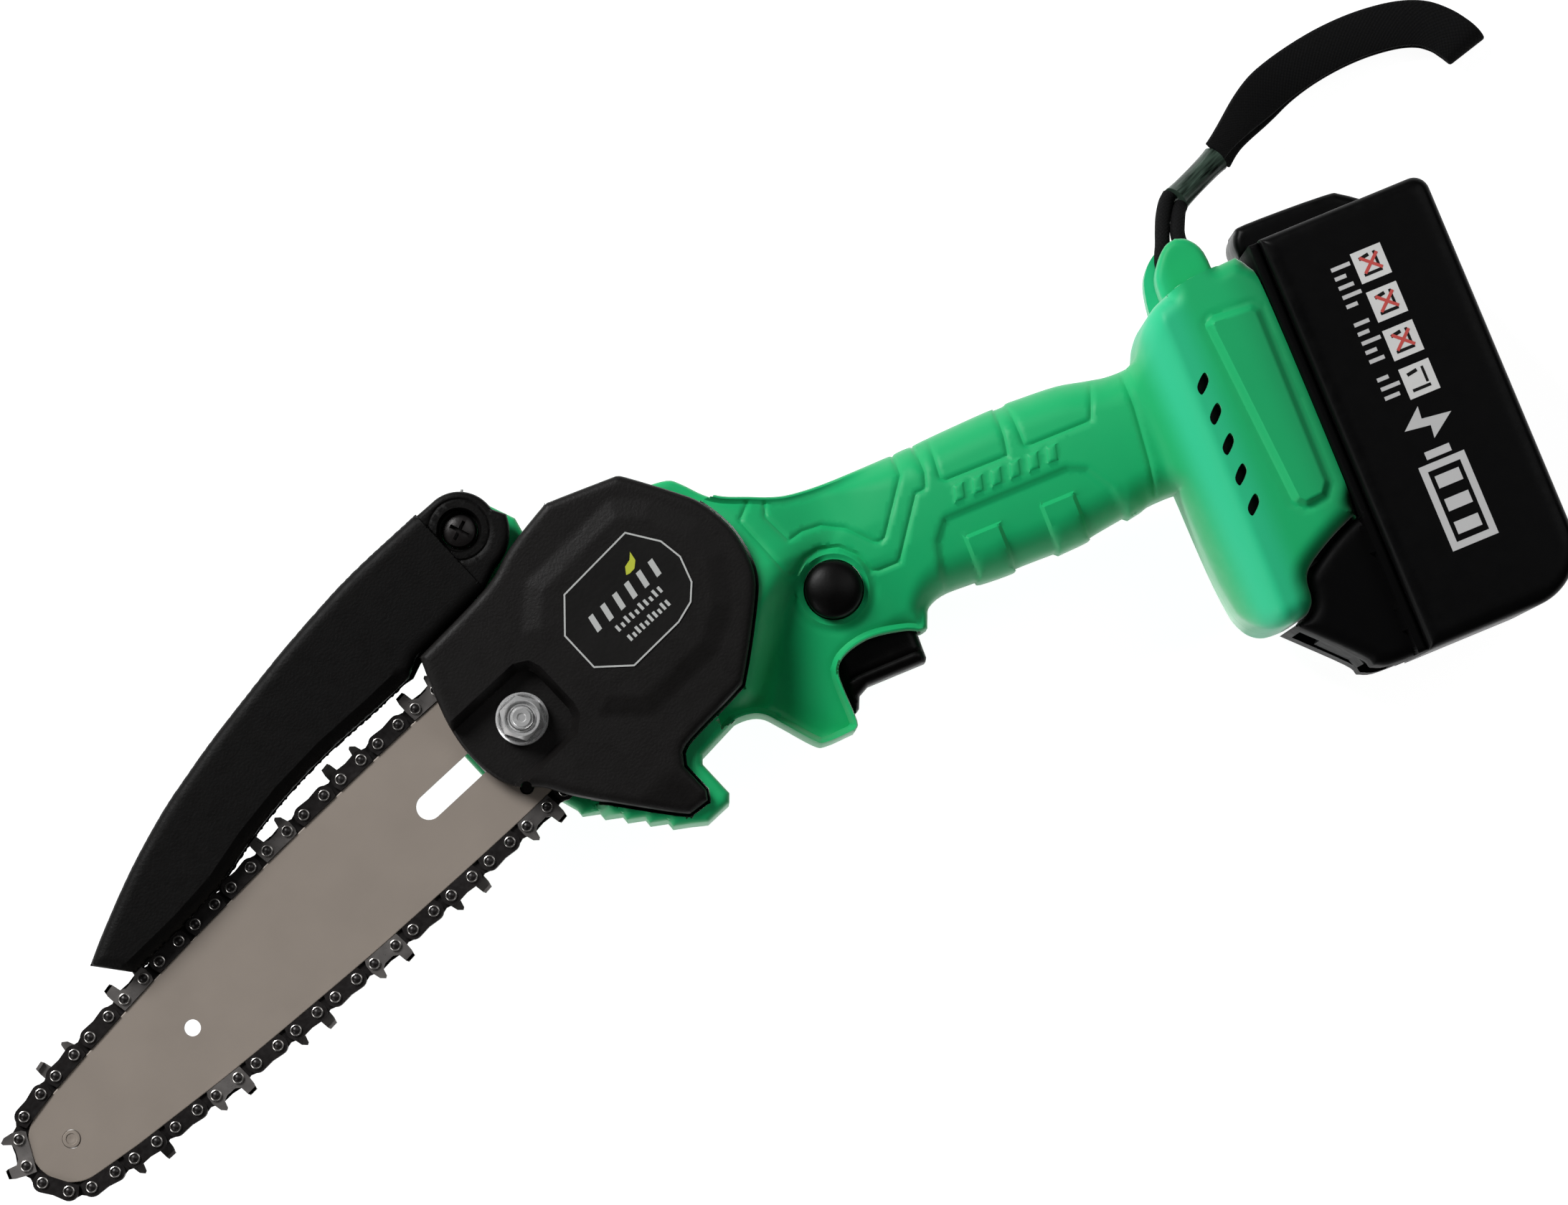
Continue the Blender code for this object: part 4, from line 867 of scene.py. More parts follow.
def handle_detail(places):
    """What the handle's moulded ring, palm recess, dashes, pad and grooves add to its height."""
    x = places[:, 0]
    ring = gap_to(places, stretches_of(LOCK_RING))
    z = 0.55 * (1 - rise(ring, 0.2, 0.9)) - 0.15 * (1 - rise(np.abs(ring - 1.7), 0.1, 0.8))
    z -= 1.1 * rise(depth_in(places, PALM_RECESS), -0.8, 1.0) * (1 - rise(deepest(places, PALM_RIBS), -0.5, 0.5))
    z += 0.45 * rise(deepest(places, DASHES), -0.3, 0.3)
    pad = depth_in(places, BASE_PAD)
    z += (2.2 - 0.09 * np.clip(x - 157, 0, 13)) * rise(pad, -0.2, 1.4)
    z -= 0.3 * (1 - rise(np.abs(pad + 0.9), 0.1, 0.9))
    return z - np.max([groove(places, line) for line in GROOVES], axis=0)


def left_top(places, gap):
    """The left half's face: the crowned handle, sloping at the neck and raised where it meets the cover."""
    x, y = places[:, 0], places[:, 1]
    z = SPLIT + crowned(places, gap)
    z = z - 2.6 * rise(-y, 12, 30) * (1 - rise(x, 25, 42)) * rise(gap, 0, 3)
    neck = 1 - rise(x, 58, 74)
    z = z - neck * (0.18 * np.clip(-y - 10, 0, 40) + 0.16 * np.clip(y + 2, 0, 20)) * rise(gap, 0, 2)
    off_cover = -depth_in(places, COVER_EDGE)
    reach = 9.0 + 15.0 * rise(y, -14, 2)
    near_head = np.maximum(rise(x, 8, 13), rise(-y, 20, 24)) * (1 - rise(x, HEAD_END - 10, HEAD_END))
    z = z + (10.0 - 2.0 * rise(y, -10, 6)) * (1 - rise(off_cover, 0.5, reach)) * near_head
    z = z + handle_detail(places)
    bar_x, bar_y = grip(x, y)
    raised = np.maximum(rise(-bar_y, 27.5, 30.5), rise(bar_x, -2, 6)) * rise(bar_x, -44, -38)
    beside_cover = rise(off_cover, 0.3, 0.8)
    head = HEAD_FACE + JAW_HEIGHT * raised * beside_cover - roll_off(gap, 2.2, 2.2)
    on_seat = np.where(x < HEAD_END, 1 - beside_cover, 0)
    z = np.where(off_handle(places), head, z + (np.minimum(HEAD_FACE, z) - z) * on_seat)
    return np.where(on_strap_lug(places), LUG_FACE - roll_off(gap, 1.8, 1.8), z)


def left_marks():
    marks = [m for line in GROOVES for m in groove_marks(line)]
    bands = [(PALM_RECESS, -0.8, 1.0, 0.6), (LOCK_RING, -0.9, 0.9, 0.5), (LOCK_RING, 1.1, 2.5, 0.6),
             *[(rib, -0.5, 0.5, 0.6) for rib in PALM_RIBS], *[(dash, -0.3, 0.3, 0.4) for dash in DASHES],
             (BASE_PAD, -0.2, 1.4, 0.6), (BASE_PAD, -1.8, -0.9, 0.6), (COVER_EDGE, -0.8, -0.3, 0.6),
             (BASE, -0.12, 0.12, 0.6), (HANDLE, -0.12, 0.12, 0.6)]
    for outline, low, high, step in bands:
        marks += edge_marks(outline, low, high, step=step)
    return marks


def t_slot(low, mouth_low, high, mouth_high):
    """Cutters for the battery rail's channel and its narrower mouth."""
    return [grip_plate("channel", rectangle(158.4, -72, 167, 20), low, high),
            grip_plate("mouth", rectangle(166.8, -72, 178, 20), mouth_low, mouth_high)]


def make_housing_left():
    shell = relief("housing_left_shell", [HEAD, HANDLE, BASE, STRAP_LUG, PIVOT_LUG], left_top,
                   flat(SPLIT + 0.1), 0.85, left_marks())
    carve(shell, grip_plate("lock_hole", circle(LOCK_CENTRE, LOCK_RADIUS + 0.35, 48), 45, 60),
          *t_slot(SPLIT - 2, SPLIT - 2, 60.5, 56.5),
          grip_plate("trigger_room", TRIGGER_ROOM, SPLIT - 2, 47.3),
          *[grip_plate("vent", vent, VENT_FLOOR, 75) for vent in VENTS])
    finish_piece(shell, "green_plastic", "housing", ["housing_left"], 40)
    # Painted shade: a black sheet on each vent's floor stands for the dark, shaded inside seen through the slot.
    low, high = VENT_FLOOR + 0.05, VENT_FLOOR + 1.2
    shade_sheets = [grip_plate("shade_sheet", inset(vent, -0.12), low, high) for vent in VENTS]
    finish_piece(joined("base_vent_shade_sheets", shade_sheets), "black_plastic", "housing")


MOTOR_X, BARREL_RADIUS = 18.4, 22.0


def right_bottom(places, gap):
    x, y = places[:, 0], places[:, 1]
    z = np.where(off_handle(places), HEAD_BACK + roll_off(gap, 2.2, 2.2), SPLIT - crowned(places, gap))
    z = np.where(on_strap_lug(places), LUG_BACK + roll_off(gap, 1.8, 1.8), z)
    z = z + 1.25 * rise(depth_in(places, PALM_RECESS), -0.4, 0.7)
    in_barrel = np.hypot(x - MOTOR_X, y) < BARREL_RADIUS
    return np.where(in_barrel, np.minimum(z, BARREL_BACK), z)


SCREW_PLACES = [(134.6, 6.2), (74, -20.2), (38.8, 11), (33.5, -38), (147, -55)]


def make_housing_right():
    barrel = circle((MOTOR_X, 0), BARREL_RADIUS, 64)
    marks = edge_marks(barrel, -0.1, 0.1) + edge_marks(PALM_RECESS, -0.4, 0.7)
    outlines = [HEAD, HANDLE, BASE, STRAP_LUG_RIGHT, PIVOT_LUG]
    shell = relief("housing_right_shell", outlines, flat(SPLIT - 0.1), right_bottom, 1.3, marks)
    carve(shell, *t_slot(14.5, 18.5, SPLIT + 2, SPLIT + 2),
          grip_plate("trigger_room", TRIGGER_ROOM, 27.7, SPLIT + 2),
          *[grip_plate("screw_hole", circle(place, 3.2, 20), -5, 29.6) for place in SCREW_PLACES])
    finish_piece(shell, "green_plastic", "housing", ["housing_right"], 40)


make_housing_left()
make_housing_right()


# ---------------------------------------------------------------- chain cover

PLATEAU = [(-25, -12.5), (-15.5, -21.5), (7, -21), (17.5, -15), (25, -4), (25.5, 6), (20.5, 18), (13, 25),
           (-16, 24), (-25.5, 15)]
BADGE = [
    (-17.8, -3), (-10.3, -9.4), (5, -9), (10.5, -7.4), (14, -4), (16.2, 2.5), (15.3, 8.5), (10.3, 16),
    (-11, 15), (-17.8, 7.5),
]
NUT_POCKET = [(-60, -12.5), (-32, -12), (-28.4, -9), (-27.6, -6), (-27.6, 6), (-28.6, 9), (-32, 11), (-60, 11)]
COVER_LOW, COVER_HIGH, POCKET_DEPTH = 50.3, 68.0, 6
BADGE_TOP = 69.15
STUD = (-39.4, 0.0)
TENSION_PIN = (-50.0, -13.0)


def cover_top(places, gap):
    z = COVER_HIGH - roll_off(gap, 2.0, 1.9)
    z = z + 0.9 * np.clip(depth_in(places, PLATEAU) / 4.6, 0, 1)
    pocket = depth_in(places, NUT_POCKET)
    sunk = COVER_HIGH - POCKET_DEPTH * rise(pocket, -0.3, 1.7) - roll_off(gap, 1.2, 1.0)
    z = np.where(pocket > -0.3, np.minimum(z, sunk), z)
    spike = rise(-places[:, 1], 33, 46) * rise(-places[:, 0], 16, 24)
    return z - 1.5 * spike


def make_cover():
    marks = edge_marks(PLATEAU, 0.0, 4.6, step=0.7) + edge_marks(NUT_POCKET, -0.3, 1.7)
    cover = relief("chain_cover_shell", [COVER], cover_top, flat(COVER_LOW), 0.9, marks, tilted=False)
    well = [(-26, 26), (-24, 26), (-22, 27.4), *arc((0, 2.8), 26.6, 112, -122, 20), (-22, -26), (-26, -26)]
    carve(cover, plate("run", rectangle(-60, -26, -25, 26), 45, 59.3), plate("well", well, 45, 62.0),
          plate("stud_hole", circle(STUD, 3.5, 32), 45, 75),
          plate("dot", circle(TENSION_PIN, 1.35, 24), 45, 75))
    finish_piece(cover, "black_plastic", "housing", ["chain_cover"], 22)


def outline_band(name, outline, width, low, high):
    """A flat ring that follows an outline, on its inner side."""
    area = sum(a[0] * b[1] - b[0] * a[1] for a, b in stretches_of(outline))
    inner = inset(outline, width if area > 0 else -width)
    count = len(outline)
    points = [(*p, z) for z in (low, high) for ring in (outline, inner) for p in ring]
    faces = []
    for i in range(count):
        j = (i + 1) % count
        a, b, c, d = 0, count, 2 * count, 3 * count
        faces += [(c + i, c + j, d + j, d + i), (a + i, a + j, c + j, c + i), (b + j, b + i, d + i, d + j),
                  (a + j, a + i, b + i, b + j)]
    form = bmesh.new()
    corners = [form.verts.new(p) for p in points]
    for face in faces:
        form.faces.new([corners[k] for k in face])
    return item_from_form(name, form)


def make_badge():
    """A printed plate with plain bars and a leaf in place of the maker's lettering."""
    ground = plate("cover_badge_plate", BADGE, BADGE_TOP - 0.4, BADGE_TOP)
    finish_piece(ground, "dark_ink", "housing", ["cover_badge"], slot="badge")
    low, high = BADGE_TOP - 0.04, BADGE_TOP + 0.07
    bars = [outline_band("badge_line", inset(BADGE, -0.25), 0.42, low, high)]
    for i in range(6):
        x = -11.4 + 4.0 * i
        bars.append(plate("badge_bar", [(x, 2.6), (x + 1.5, 2.6), (x + 2.3, 6.9), (x + 0.8, 6.9)], low, high))
    for y, left, right in ((-0.9, -7.4, 8.2), (-4.6, -6.8, 7.2)):
        for i in range(10):
            x = left + (right - left) * i / 10
            bars.append(plate("badge_dash", rectangle(x, y, x + 0.75, y + (1.7, 1.3, 2.0)[i % 3]), low, high))
    finish_piece(joined("cover_badge_print", bars), "badge", "housing")
    leaf = [(3.4, 8.2), (4.6, 9.9), (6.6, 10.4), (8.0, 11.8), (7.6, 9.4), (6.0, 8.0), (4.3, 7.9)]
    finish_piece(plate("cover_badge_leaf", leaf, low, high + 0.02), "leaf_ink", "housing", slot="badge")


def thread(name, centre, radius, low, high, pitch):
    """A threaded shank: a turned profile with its ridges drawn into a helix."""
    rings, sides, depth = int((high - low) / pitch * 8), 40, 0.32
    points, faces = [], []
    for i in range(rings + 1):
        for k in range(sides):
            angle = math.tau * k / sides
            z = low + (high - low) * i / rings
            phase = (z / pitch - k / sides) % 1.0
            r = radius - depth * abs(phase - 0.5) * 2
            points.append((centre[0] + r * math.cos(angle), centre[1] + r * math.sin(angle), z))
    for i in range(rings):
        for k in range(sides):
            j = (k + 1) % sides
            faces.append((i * sides + k, i * sides + j, (i + 1) * sides + j, (i + 1) * sides + k))
    faces.append(tuple(range(sides - 1, -1, -1)))
    faces.append(tuple(range(rings * sides, (rings + 1) * sides)))
    return item_from(name, points, faces)


def make_nut():
    """A flange nut: chamfered hexagon, washer face with grip lines, and the stud's end."""
    hexagon = plate("bar_nut_hexagon", circle(STUD, 5.75, 6), 63.2, 69.4)
    cone = turned("nut_cone", [(0, 60), (7.4, 60), (7.4, 65.5), (4.5, 69.3), (0, 69.3)], STUD, 64)
    carve(hexagon, cone, operation="INTERSECT", solver="EXACT")
    sink = turned("nut_sink", [(0, 60), (3.0, 60), (3.0, 67.2), (4.2, 69.0), (4.2, 72), (0, 72)], STUD, 64)
    carve(hexagon, sink, solver="EXACT")
    profile = [(3.1, 62.3), (6.3, 62.3), (6.6, 62.8), (6.5, 64.2), (6.15, 64.5), (5.85, 64.2), (5.7, 63.2),
               (3.1, 63.1)]
    flange = turned("bar_nut_flange", profile, STUD, 64)
    collar = turned("bar_nut_collar", [(3.1, 67.6), (3.1, 68.4), (3.5, 68.5), (3.7, 68.0)], STUD, 48)
    finish_piece(joined("bar_nut_set", [hexagon, flange, collar]), "bright_steel", "housing", ["bar_nut"], 30)
    stud = thread("bar_stud_thread", STUD, 2.95, 56.0, 69.7, 1.0)
    profile = [(2.7, 69.4), (2.6, 69.8), (2.2, 70.1), (1.2, 70.0), (0.9, 69.6), (0, 69.5)]
    end = turned("bar_stud_end", profile, STUD)
    finish_piece(joined("bar_stud_shank", [stud, end]), "bright_steel", "housing", ["bar_stud"], 40)


make_cover()
make_badge()
make_nut()


# ---------------------------------------------------------------- guard

PIVOT = (-19.0, 44.9)
GUARD = rounded([
    (-158.8, 28), (-151.8, 19.2), (-135, 19.6), (-122, 20.8), (-109, 23.8), (-95, 25.9), (-80, 26.8),
    (-64, 26.5), (-53, 26.6), (-48.2, 28.9), (-24.2, 30.3), (-24.2, 55.1), (-40, 55.2), (-50, 54.9), (-60, 54),
    (-70, 52.9), (-80, 51.5), (-90, 49.9), (-100, 48.2), (-110, 46.1), (-120, 43.7), (-135, 38.7),
    (-150, 32.3),
], 20)
GUARD_ARM = [(-33, 54.9), (-33, 30.5), (-24, 30.5), *arc(PIVOT, 12.3, -88, -24, 10),
             *arc(PIVOT, 9.6, -10, 92, 22)]
GUARD_LIP = [(-160, 18.6), (-151.8, 19.2), (-135, 19.6), (-122, 20.8), (-109, 23.8), (-95, 25.9), (-80, 26.8),
             (-64, 26.5), (-55, 26.6)]
GUARD_HOLLOW = [
    (-170, 22), (-158.8, 25.6), (-150, 29.9), (-135, 36.2), (-120, 41.2), (-100, 45.7), (-80, 49),
    (-60, 51.5), (-50, 52.4), (-30, 53), (-28, 53), (-28, 10), (-170, 10),
]
GUARD_HOLLOW_HIGH = [*GUARD_HOLLOW[2:12], (-51, 10), (-51, 27.5),
                     *[(x, y + 4) for x, y in reversed(GUARD_LIP[2:])], (-148, 23.2)]


GUARD_LOW, GUARD_HIGH, BOSS_LOW, BOSS_HIGH = 46.0, 64.0, 50.4, 62.0


def guard_top(places, gap):
    x, y = places[:, 0], places[:, 1]
    on_plate = inside(places, GUARD)
    z = GUARD_HIGH - roll_off(gap, 2.7, 2.3)
    z = z - 0.9 * np.clip((x + 60) / -100, 0, 1) ** 2
    z = z - 1.8 * (1 - np.clip(gap_to(places, stretches_of(GUARD_LIP, False)) / 3.2, 0, 1))
    ring = np.hypot(x - PIVOT[0], y - PIVOT[1])
    boss = BOSS_HIGH - roll_off(gap, 1.4, 1.2)
    boss = boss - 4.2 * (1 - rise(ring, 5.0, 5.6)) - 0.35 * (1 - rise(np.abs(ring - 7.6), 0.1, 0.6))
    share = np.where(on_plate, rise(-x, 23.95, 24.45), 0.0)
    return boss + (z - boss) * share


def guard_bottom(places, gap):
    on_plate = inside(places, GUARD)
    return np.where(on_plate, GUARD_LOW + roll_off(gap, 1.5, 1.2), BOSS_LOW)


def make_guard():
    marks = edge_marks(circle(PIVOT, 5.3, 48), -0.3, 0.3) + edge_marks(circle(PIVOT, 7.6, 48), -0.5, 0.5)
    marks += edge_marks([(-24.2, 31), (-24.2, 54.6)], -0.25, 0.25, False)
    marks += along_line(GUARD_LIP, 0.7, False, (1.0, 2.2, 3.2, 3.5))
    guard = relief("guard_shell", [GUARD, GUARD_ARM], guard_top, guard_bottom, 1.0, marks, tilted=False)
    carve(guard, plate("hollow", GUARD_HOLLOW, 48.5, 58.9), plate("hollow", GUARD_HOLLOW_HIGH, 48.7, 61.3),
          plate("spring_room", circle(PIVOT, 7.0, 40), 49, 55), plate("bore", circle(PIVOT, 4.5, 40), 49, 60))
    lip = [(-56, 27.0), (-52.2, 26.4), (-48.3, 27.9), (-25, 29.3), (-25, 33), (-56, 31)]
    guard = joined("guard_shell", [guard, plate("guard_lip", lip, 46.3, 48.3)])
    finish_piece(guard, "guard_plastic", "guard", ["guard"], 30, "black_plastic")
    profile = [(1.9, 55.0), (1.9, 57.5), (4.4, 57.5), (4.4, 58.4), (3.9, 59.3), (2.6, 59.9), (0, 60.1)]
    head = turned("guard_screw_head", profile, PIVOT)
    for turn in (20, 110):
        c, s = math.cos(math.radians(turn)), math.sin(math.radians(turn))
        bar = [(PIVOT[0] + a * c - b * s, PIVOT[1] + a * s + b * c)
               for a, b in ((2.6, 0.45), (-2.6, 0.45), (-2.6, -0.45), (2.6, -0.45))]
        carve(head, plate("cross", bar, 58.2, 62), solver="EXACT")
    finish_piece(head, "dark_steel", "housing", ["guard_screw"], 30)


make_guard()


# ---------------------------------------------------------------- bar and chain

NOSE, NOSE_RADIUS = (-191.3, 0.0), 10.7
BAR_STATIONS = [(-180, 12.3), (-150, 14.9), (-125, 16.3), (-100, 17.3), (-60, 17.9), (-34, 17.4)]
RIVET_OFFSET = 2.2
BAR_HALF, DRIVE_HALF, SIDE_NEAR, SIDE_FAR = 1.5, 0.6, 0.85, 2.05   # measured from the bar's middle
SPROCKET_PITCH = CHAIN_STEP / (2 * math.sin(math.pi / 14))
BAR_EDGE = [(p.x, p.y) for p in smooth_route([(*p, 0) for p in BAR_STATIONS], 4)]


def bar_outline():
    upper = [*BAR_EDGE, (-25, 14.5), (-22, 10.0)]
    lower = [(x, -y) for x, y in reversed(upper)]
    return [*arc(NOSE, NOSE_RADIUS, 263, 97, 28), *upper, *lower]


def chain_route():
    upper = [(x, y + RIVET_OFFSET) for x, y in BAR_EDGE]
    lower = [(x, -y) for x, y in reversed(upper)]
    return [*arc(NOSE, NOSE_RADIUS + RIVET_OFFSET, 263, 97, 40), *upper,
            *arc((0, 0), SPROCKET_PITCH, 76, -76, 40), *lower]


CHAIN_START, SIDE_LINK_EXTRA = 2.6, 0.28


def rivet_places():
    """The chain's rivets, clockwise from below the nose. A side link spans more than a drive link."""
    runs = [(Vector(a), Vector(b)) for a, b in stretches_of(chain_route())]
    total = sum((b - a).length for a, b in runs)
    found = []
    for i in range(RIVETS):
        extra = SIDE_LINK_EXTRA if i % 2 == 0 else -SIDE_LINK_EXTRA
        left = (total * i / RIVETS + CHAIN_START + extra) % total
        for a, b in runs:
            length = (b - a).length
            if left <= length:
                found.append(a + (b - a) * left / length)
                break
            left -= length
    return found


LINK_RADIUS, LINK_WAIST, STRAP_FOOT = 2.45, 0.86, 2.12


def link_outline(first, second):
    """A link's side: round outer ends about two rivets, a slightly narrower middle, and a straight foot."""
    along = (second - first).normalized()
    out = Vector((-along.y, along.x))
    turn = math.degrees(math.atan2(out.y, out.x))
    middle = (first + second) / 2
    foot = LINK_RADIUS * 0.8
    return [tuple(second - out * STRAP_FOOT + along * foot),
            *arc(second, LINK_RADIUS, turn - 95, turn + 8, 7),
            tuple(middle + out * LINK_RADIUS * LINK_WAIST),
            *arc(first, LINK_RADIUS, turn - 8, turn + 95, 7),
            tuple(first - out * STRAP_FOOT - along * foot)]


def along_link(first, second, points):
    """Points given along and out from a link's first rivet."""
    along = (second - first).normalized()
    out = Vector((-along.y, along.x))
    return [tuple(first + along * a + out * b) for a, b in points]


CUTTER_SIDE = [(-2.0, -2.1), (-2.3, 1.0), (-2.3, 3.4), (-2.0, 4.9), (-0.3, 5.2), (0.5, 4.7), (0.9, 2.3),
               (2.2, 1.5), (4.8, 1.6), (6.0, 2.2), (6.5, 4.2), (7.1, 4.6), (8.2, 3.6), (8.9, 1.2),
               (8.8, -1.0), (8.2, -2.1)]
CUTTER_TOP = [(-2.1, 4.2), (-2.0, 5.0), (0.2, 5.25), (0.5, 4.5)]
RIVET_CORE = [(0, -2.4), (0.95, -2.4), (0.95, 2.25), (0.6, 2.5), (0, 2.6)]
RIVET_RIM = [(0.98, 2.0), (1.42, 2.0), (1.5, 2.25), (1.4, 2.55), (1.26, 2.62), (1.14, 2.5), (0.98, 2.2),
             (0.98, 2.0)]


def make_chain():
    rivets = rivet_places()
    drives, straps, cutters, heads, cores = [], [], [], [], []
    for i in range(0, RIVETS, 2):
        a, b, c = rivets[i], rivets[(i + 1) % RIVETS], rivets[(i + 2) % RIVETS]
        drives.append(drive_link(a, b))
        side_link = i // 2
        hand = 1 if side_link % 4 == 1 else -1
        is_cutter = side_link % 2 == 1 and b.x < -44
        for side in (1, -1):
            near, far = BAR_MID + side * SIDE_NEAR, BAR_MID + side * SIDE_FAR
            low, high = min(near, far), max(near, far)
            if is_cutter and side == hand:
                cutters += cutter(b, c, side, low, high)
            else:
                straps.append(plate("strap", link_outline(b, c), low, high, 0.18, 1))
    for place in rivets:
        cores.append(turned("core", [(r, BAR_MID + z) for r, z in RIVET_CORE], place, 14))
        for side in (-1, 1):
            heads.append(turned("head", [(r, BAR_MID + side * z) for r, z in RIVET_RIM], place, 20))
    for name, pieces, look, nodes in (
            ("chain_drive_links", drives, "dark_steel", ["saw_chain"]),
            ("chain_tie_straps", straps, "dark_steel", ()),
            ("chain_cutters", cutters, "cutter_steel", ()), ("chain_rivet_rims", heads, "rivet_steel", ()),
            ("chain_rivet_cores", cores, "dark_steel", ())):
        finish_piece(joined(name, pieces), look, "housing", nodes, 30, slot="dark_steel")


def drive_link(first, second):
    """A drive link, with the tang that runs in the bar's groove."""
    span = (second - first).length
    tang = along_link(first, second, [
        (-2.0, 0.9), (-1.2, 2.0), (0.6, 2.2), (span / 2, 1.5), (span - 0.6, 2.2), (span + 1.2, 2.0),
        (span + 2.0, 0.9), (span + 1.9, -1.2), (span / 2 + 2.2, -2.2), (span / 2 + 0.8, -5.2),
        (span / 2 - 0.8, -5.2), (span / 2 - 2.2, -2.2), (-1.9, -1.2)])
    return plate("drive", tang[::-1], BAR_MID - DRIVE_HALF, BAR_MID + DRIVE_HALF)


def cutter(first, second, side, low, high):
    """A cutter link: its side plate with the depth gauge, and the tooth's top plate bent over the chain."""
    body = plate("cutter", along_link(first, second, CUTTER_SIDE)[::-1], low, high, 0.12, 1)
    low, high = (BAR_MID - 0.4, high) if side > 0 else (low, BAR_MID + 0.4)
    return [body, plate("cutter_top", along_link(first, second, CUTTER_TOP)[::-1], low, high, 0.1, 1)]


def make_bar():
    bar = plate("guide_bar_blade", bar_outline(), BAR_MID - BAR_HALF, BAR_MID + BAR_HALF, 0.22, 2)
    slot = [*arc((-71.0, 0), 3.25, 90, 270, 16), *arc((-33.0, 0), 3.25, -90, 90, 16)]
    carve(bar, plate("slot", slot, 50, 60), plate("hole", circle((-150.9, -0.2), 2.1, 36), 50, 60),
          plate("tension", circle(TENSION_PIN, 1.8, 24), 50, 60),
          plate("rivet", circle(NOSE, 2.35, 36), 50, 60),
          plate("groove", circle(NOSE, 12.2, 64), BAR_MID - 0.75, BAR_MID + 0.75))
    finish_piece(bar, "bar_steel", "bar", ["guide_bar"], 8)
    profile = [(0, -1.62), (2.0, -1.62), (2.25, -1.4), (2.25, 1.45), (2.05, 1.7), (1.45, 1.72), (1.25, 1.5),
               (0.5, 1.5), (0, 1.35)]
    head = turned("nose_rivet_head", [(r, BAR_MID + z) for r, z in profile], NOSE)
    finish_piece(head, "bar_steel", "bar", ["nose_rivet"], 30)


make_bar()
make_chain()


# ---------------------------------------------------------------- controls

def make_trigger():
    outline = [(40.15, -43.6), (41.6, -42.8), (43, -39.8), (46, -38.3), (61.4, -38.3), (62.0, -37.4),
               (62.2, -31.6), (62.2, -24.4), (40.7, -24.4), (40.15, -30)]
    ledge = [(40.2, -35.6), (44.6, -35.0), (62.4, -35.0)]

    def swell(places, gap):
        on_ledge = 1 - rise(gap_to(places, stretches_of(ledge, False)), 0.1, 0.7)
        return 9.0 - roll_off(gap, 2.6, 2.4) - 0.5 * on_ledge

    trigger = relief("trigger_lever", [outline], lambda p, g: SPLIT + swell(p, g),
                     lambda p, g: SPLIT - swell(p, g), 0.7, groove_marks(ledge))
    pocket = [Vector(grip3(52, y, SPLIT)) for y in (-28.2, -20)]
    carve(trigger, swept("spring_pocket", pocket, circle((0, 0), 3.8, 28)))
    finish_piece(trigger, "button_plastic", "trigger", ["trigger"], 35, "black_plastic")


def make_lock_button():
    r = LOCK_RADIUS
    profile = [(0, 49.9), (r, 49.9), (r, 55.4), (r - 0.15, 55.9), (r - 0.6, 56.4), (r * 0.82, 56.9),
               (r * 0.66, 57.4), (r * 0.45, 57.8), (r * 0.2, 58.1), (0, 58.2)]
    button = turned("lock_button_dome", profile, grip(*LOCK_CENTRE), 64)
    finish_piece(button, "button_plastic", "lock_button", ["lock_button"], 50, "black_plastic")


make_trigger()
make_lock_button()


# ---------------------------------------------------------------- battery

PACK_LEFT, PACK_RIGHT, PACK_BOTTOM, PACK_TOP, PACK_WIDTH = 176.0, 220.0, -84.0, 25.6, 75.0
TOE = 15.0
RIDGE = [(176.3, 22), (176.3, 25.7), (173.8, 25.8), (173.8, 29.4), (175.4, 32.2), (178.6, 33.2), (199.5, 32.4),
         (204, 31), (211.5, 25.2), (211, 22)]
RIDGE_LOW, RIDGE_HIGH = 3.5, 34.0
PACK = [(PACK_LEFT, PACK_BOTTOM), *arc((PACK_RIGHT - TOE, PACK_BOTTOM + TOE), TOE, -90, 0, 20),
        *arc((PACK_RIGHT - 4, PACK_TOP - 4), 4, 0, 90, 8), (PACK_LEFT, PACK_TOP)]
HUMP = rounded([
    (148.4, -65.6), (152.2, -65.1), (154.8, -63.2), (155.8, -60.2), (156.4, -56.5), (158.9, -54), (165.3, -50),
    (172.4, -46.9), (175.7, -46.5), (175.7, -83.7), (166.5, -83.4), (162.6, -82), (160.8, -78.6),
])
LID_EDGE = 173.3
LID = rectangle(LID_EDGE, -83.7, 175.7, 25.3)


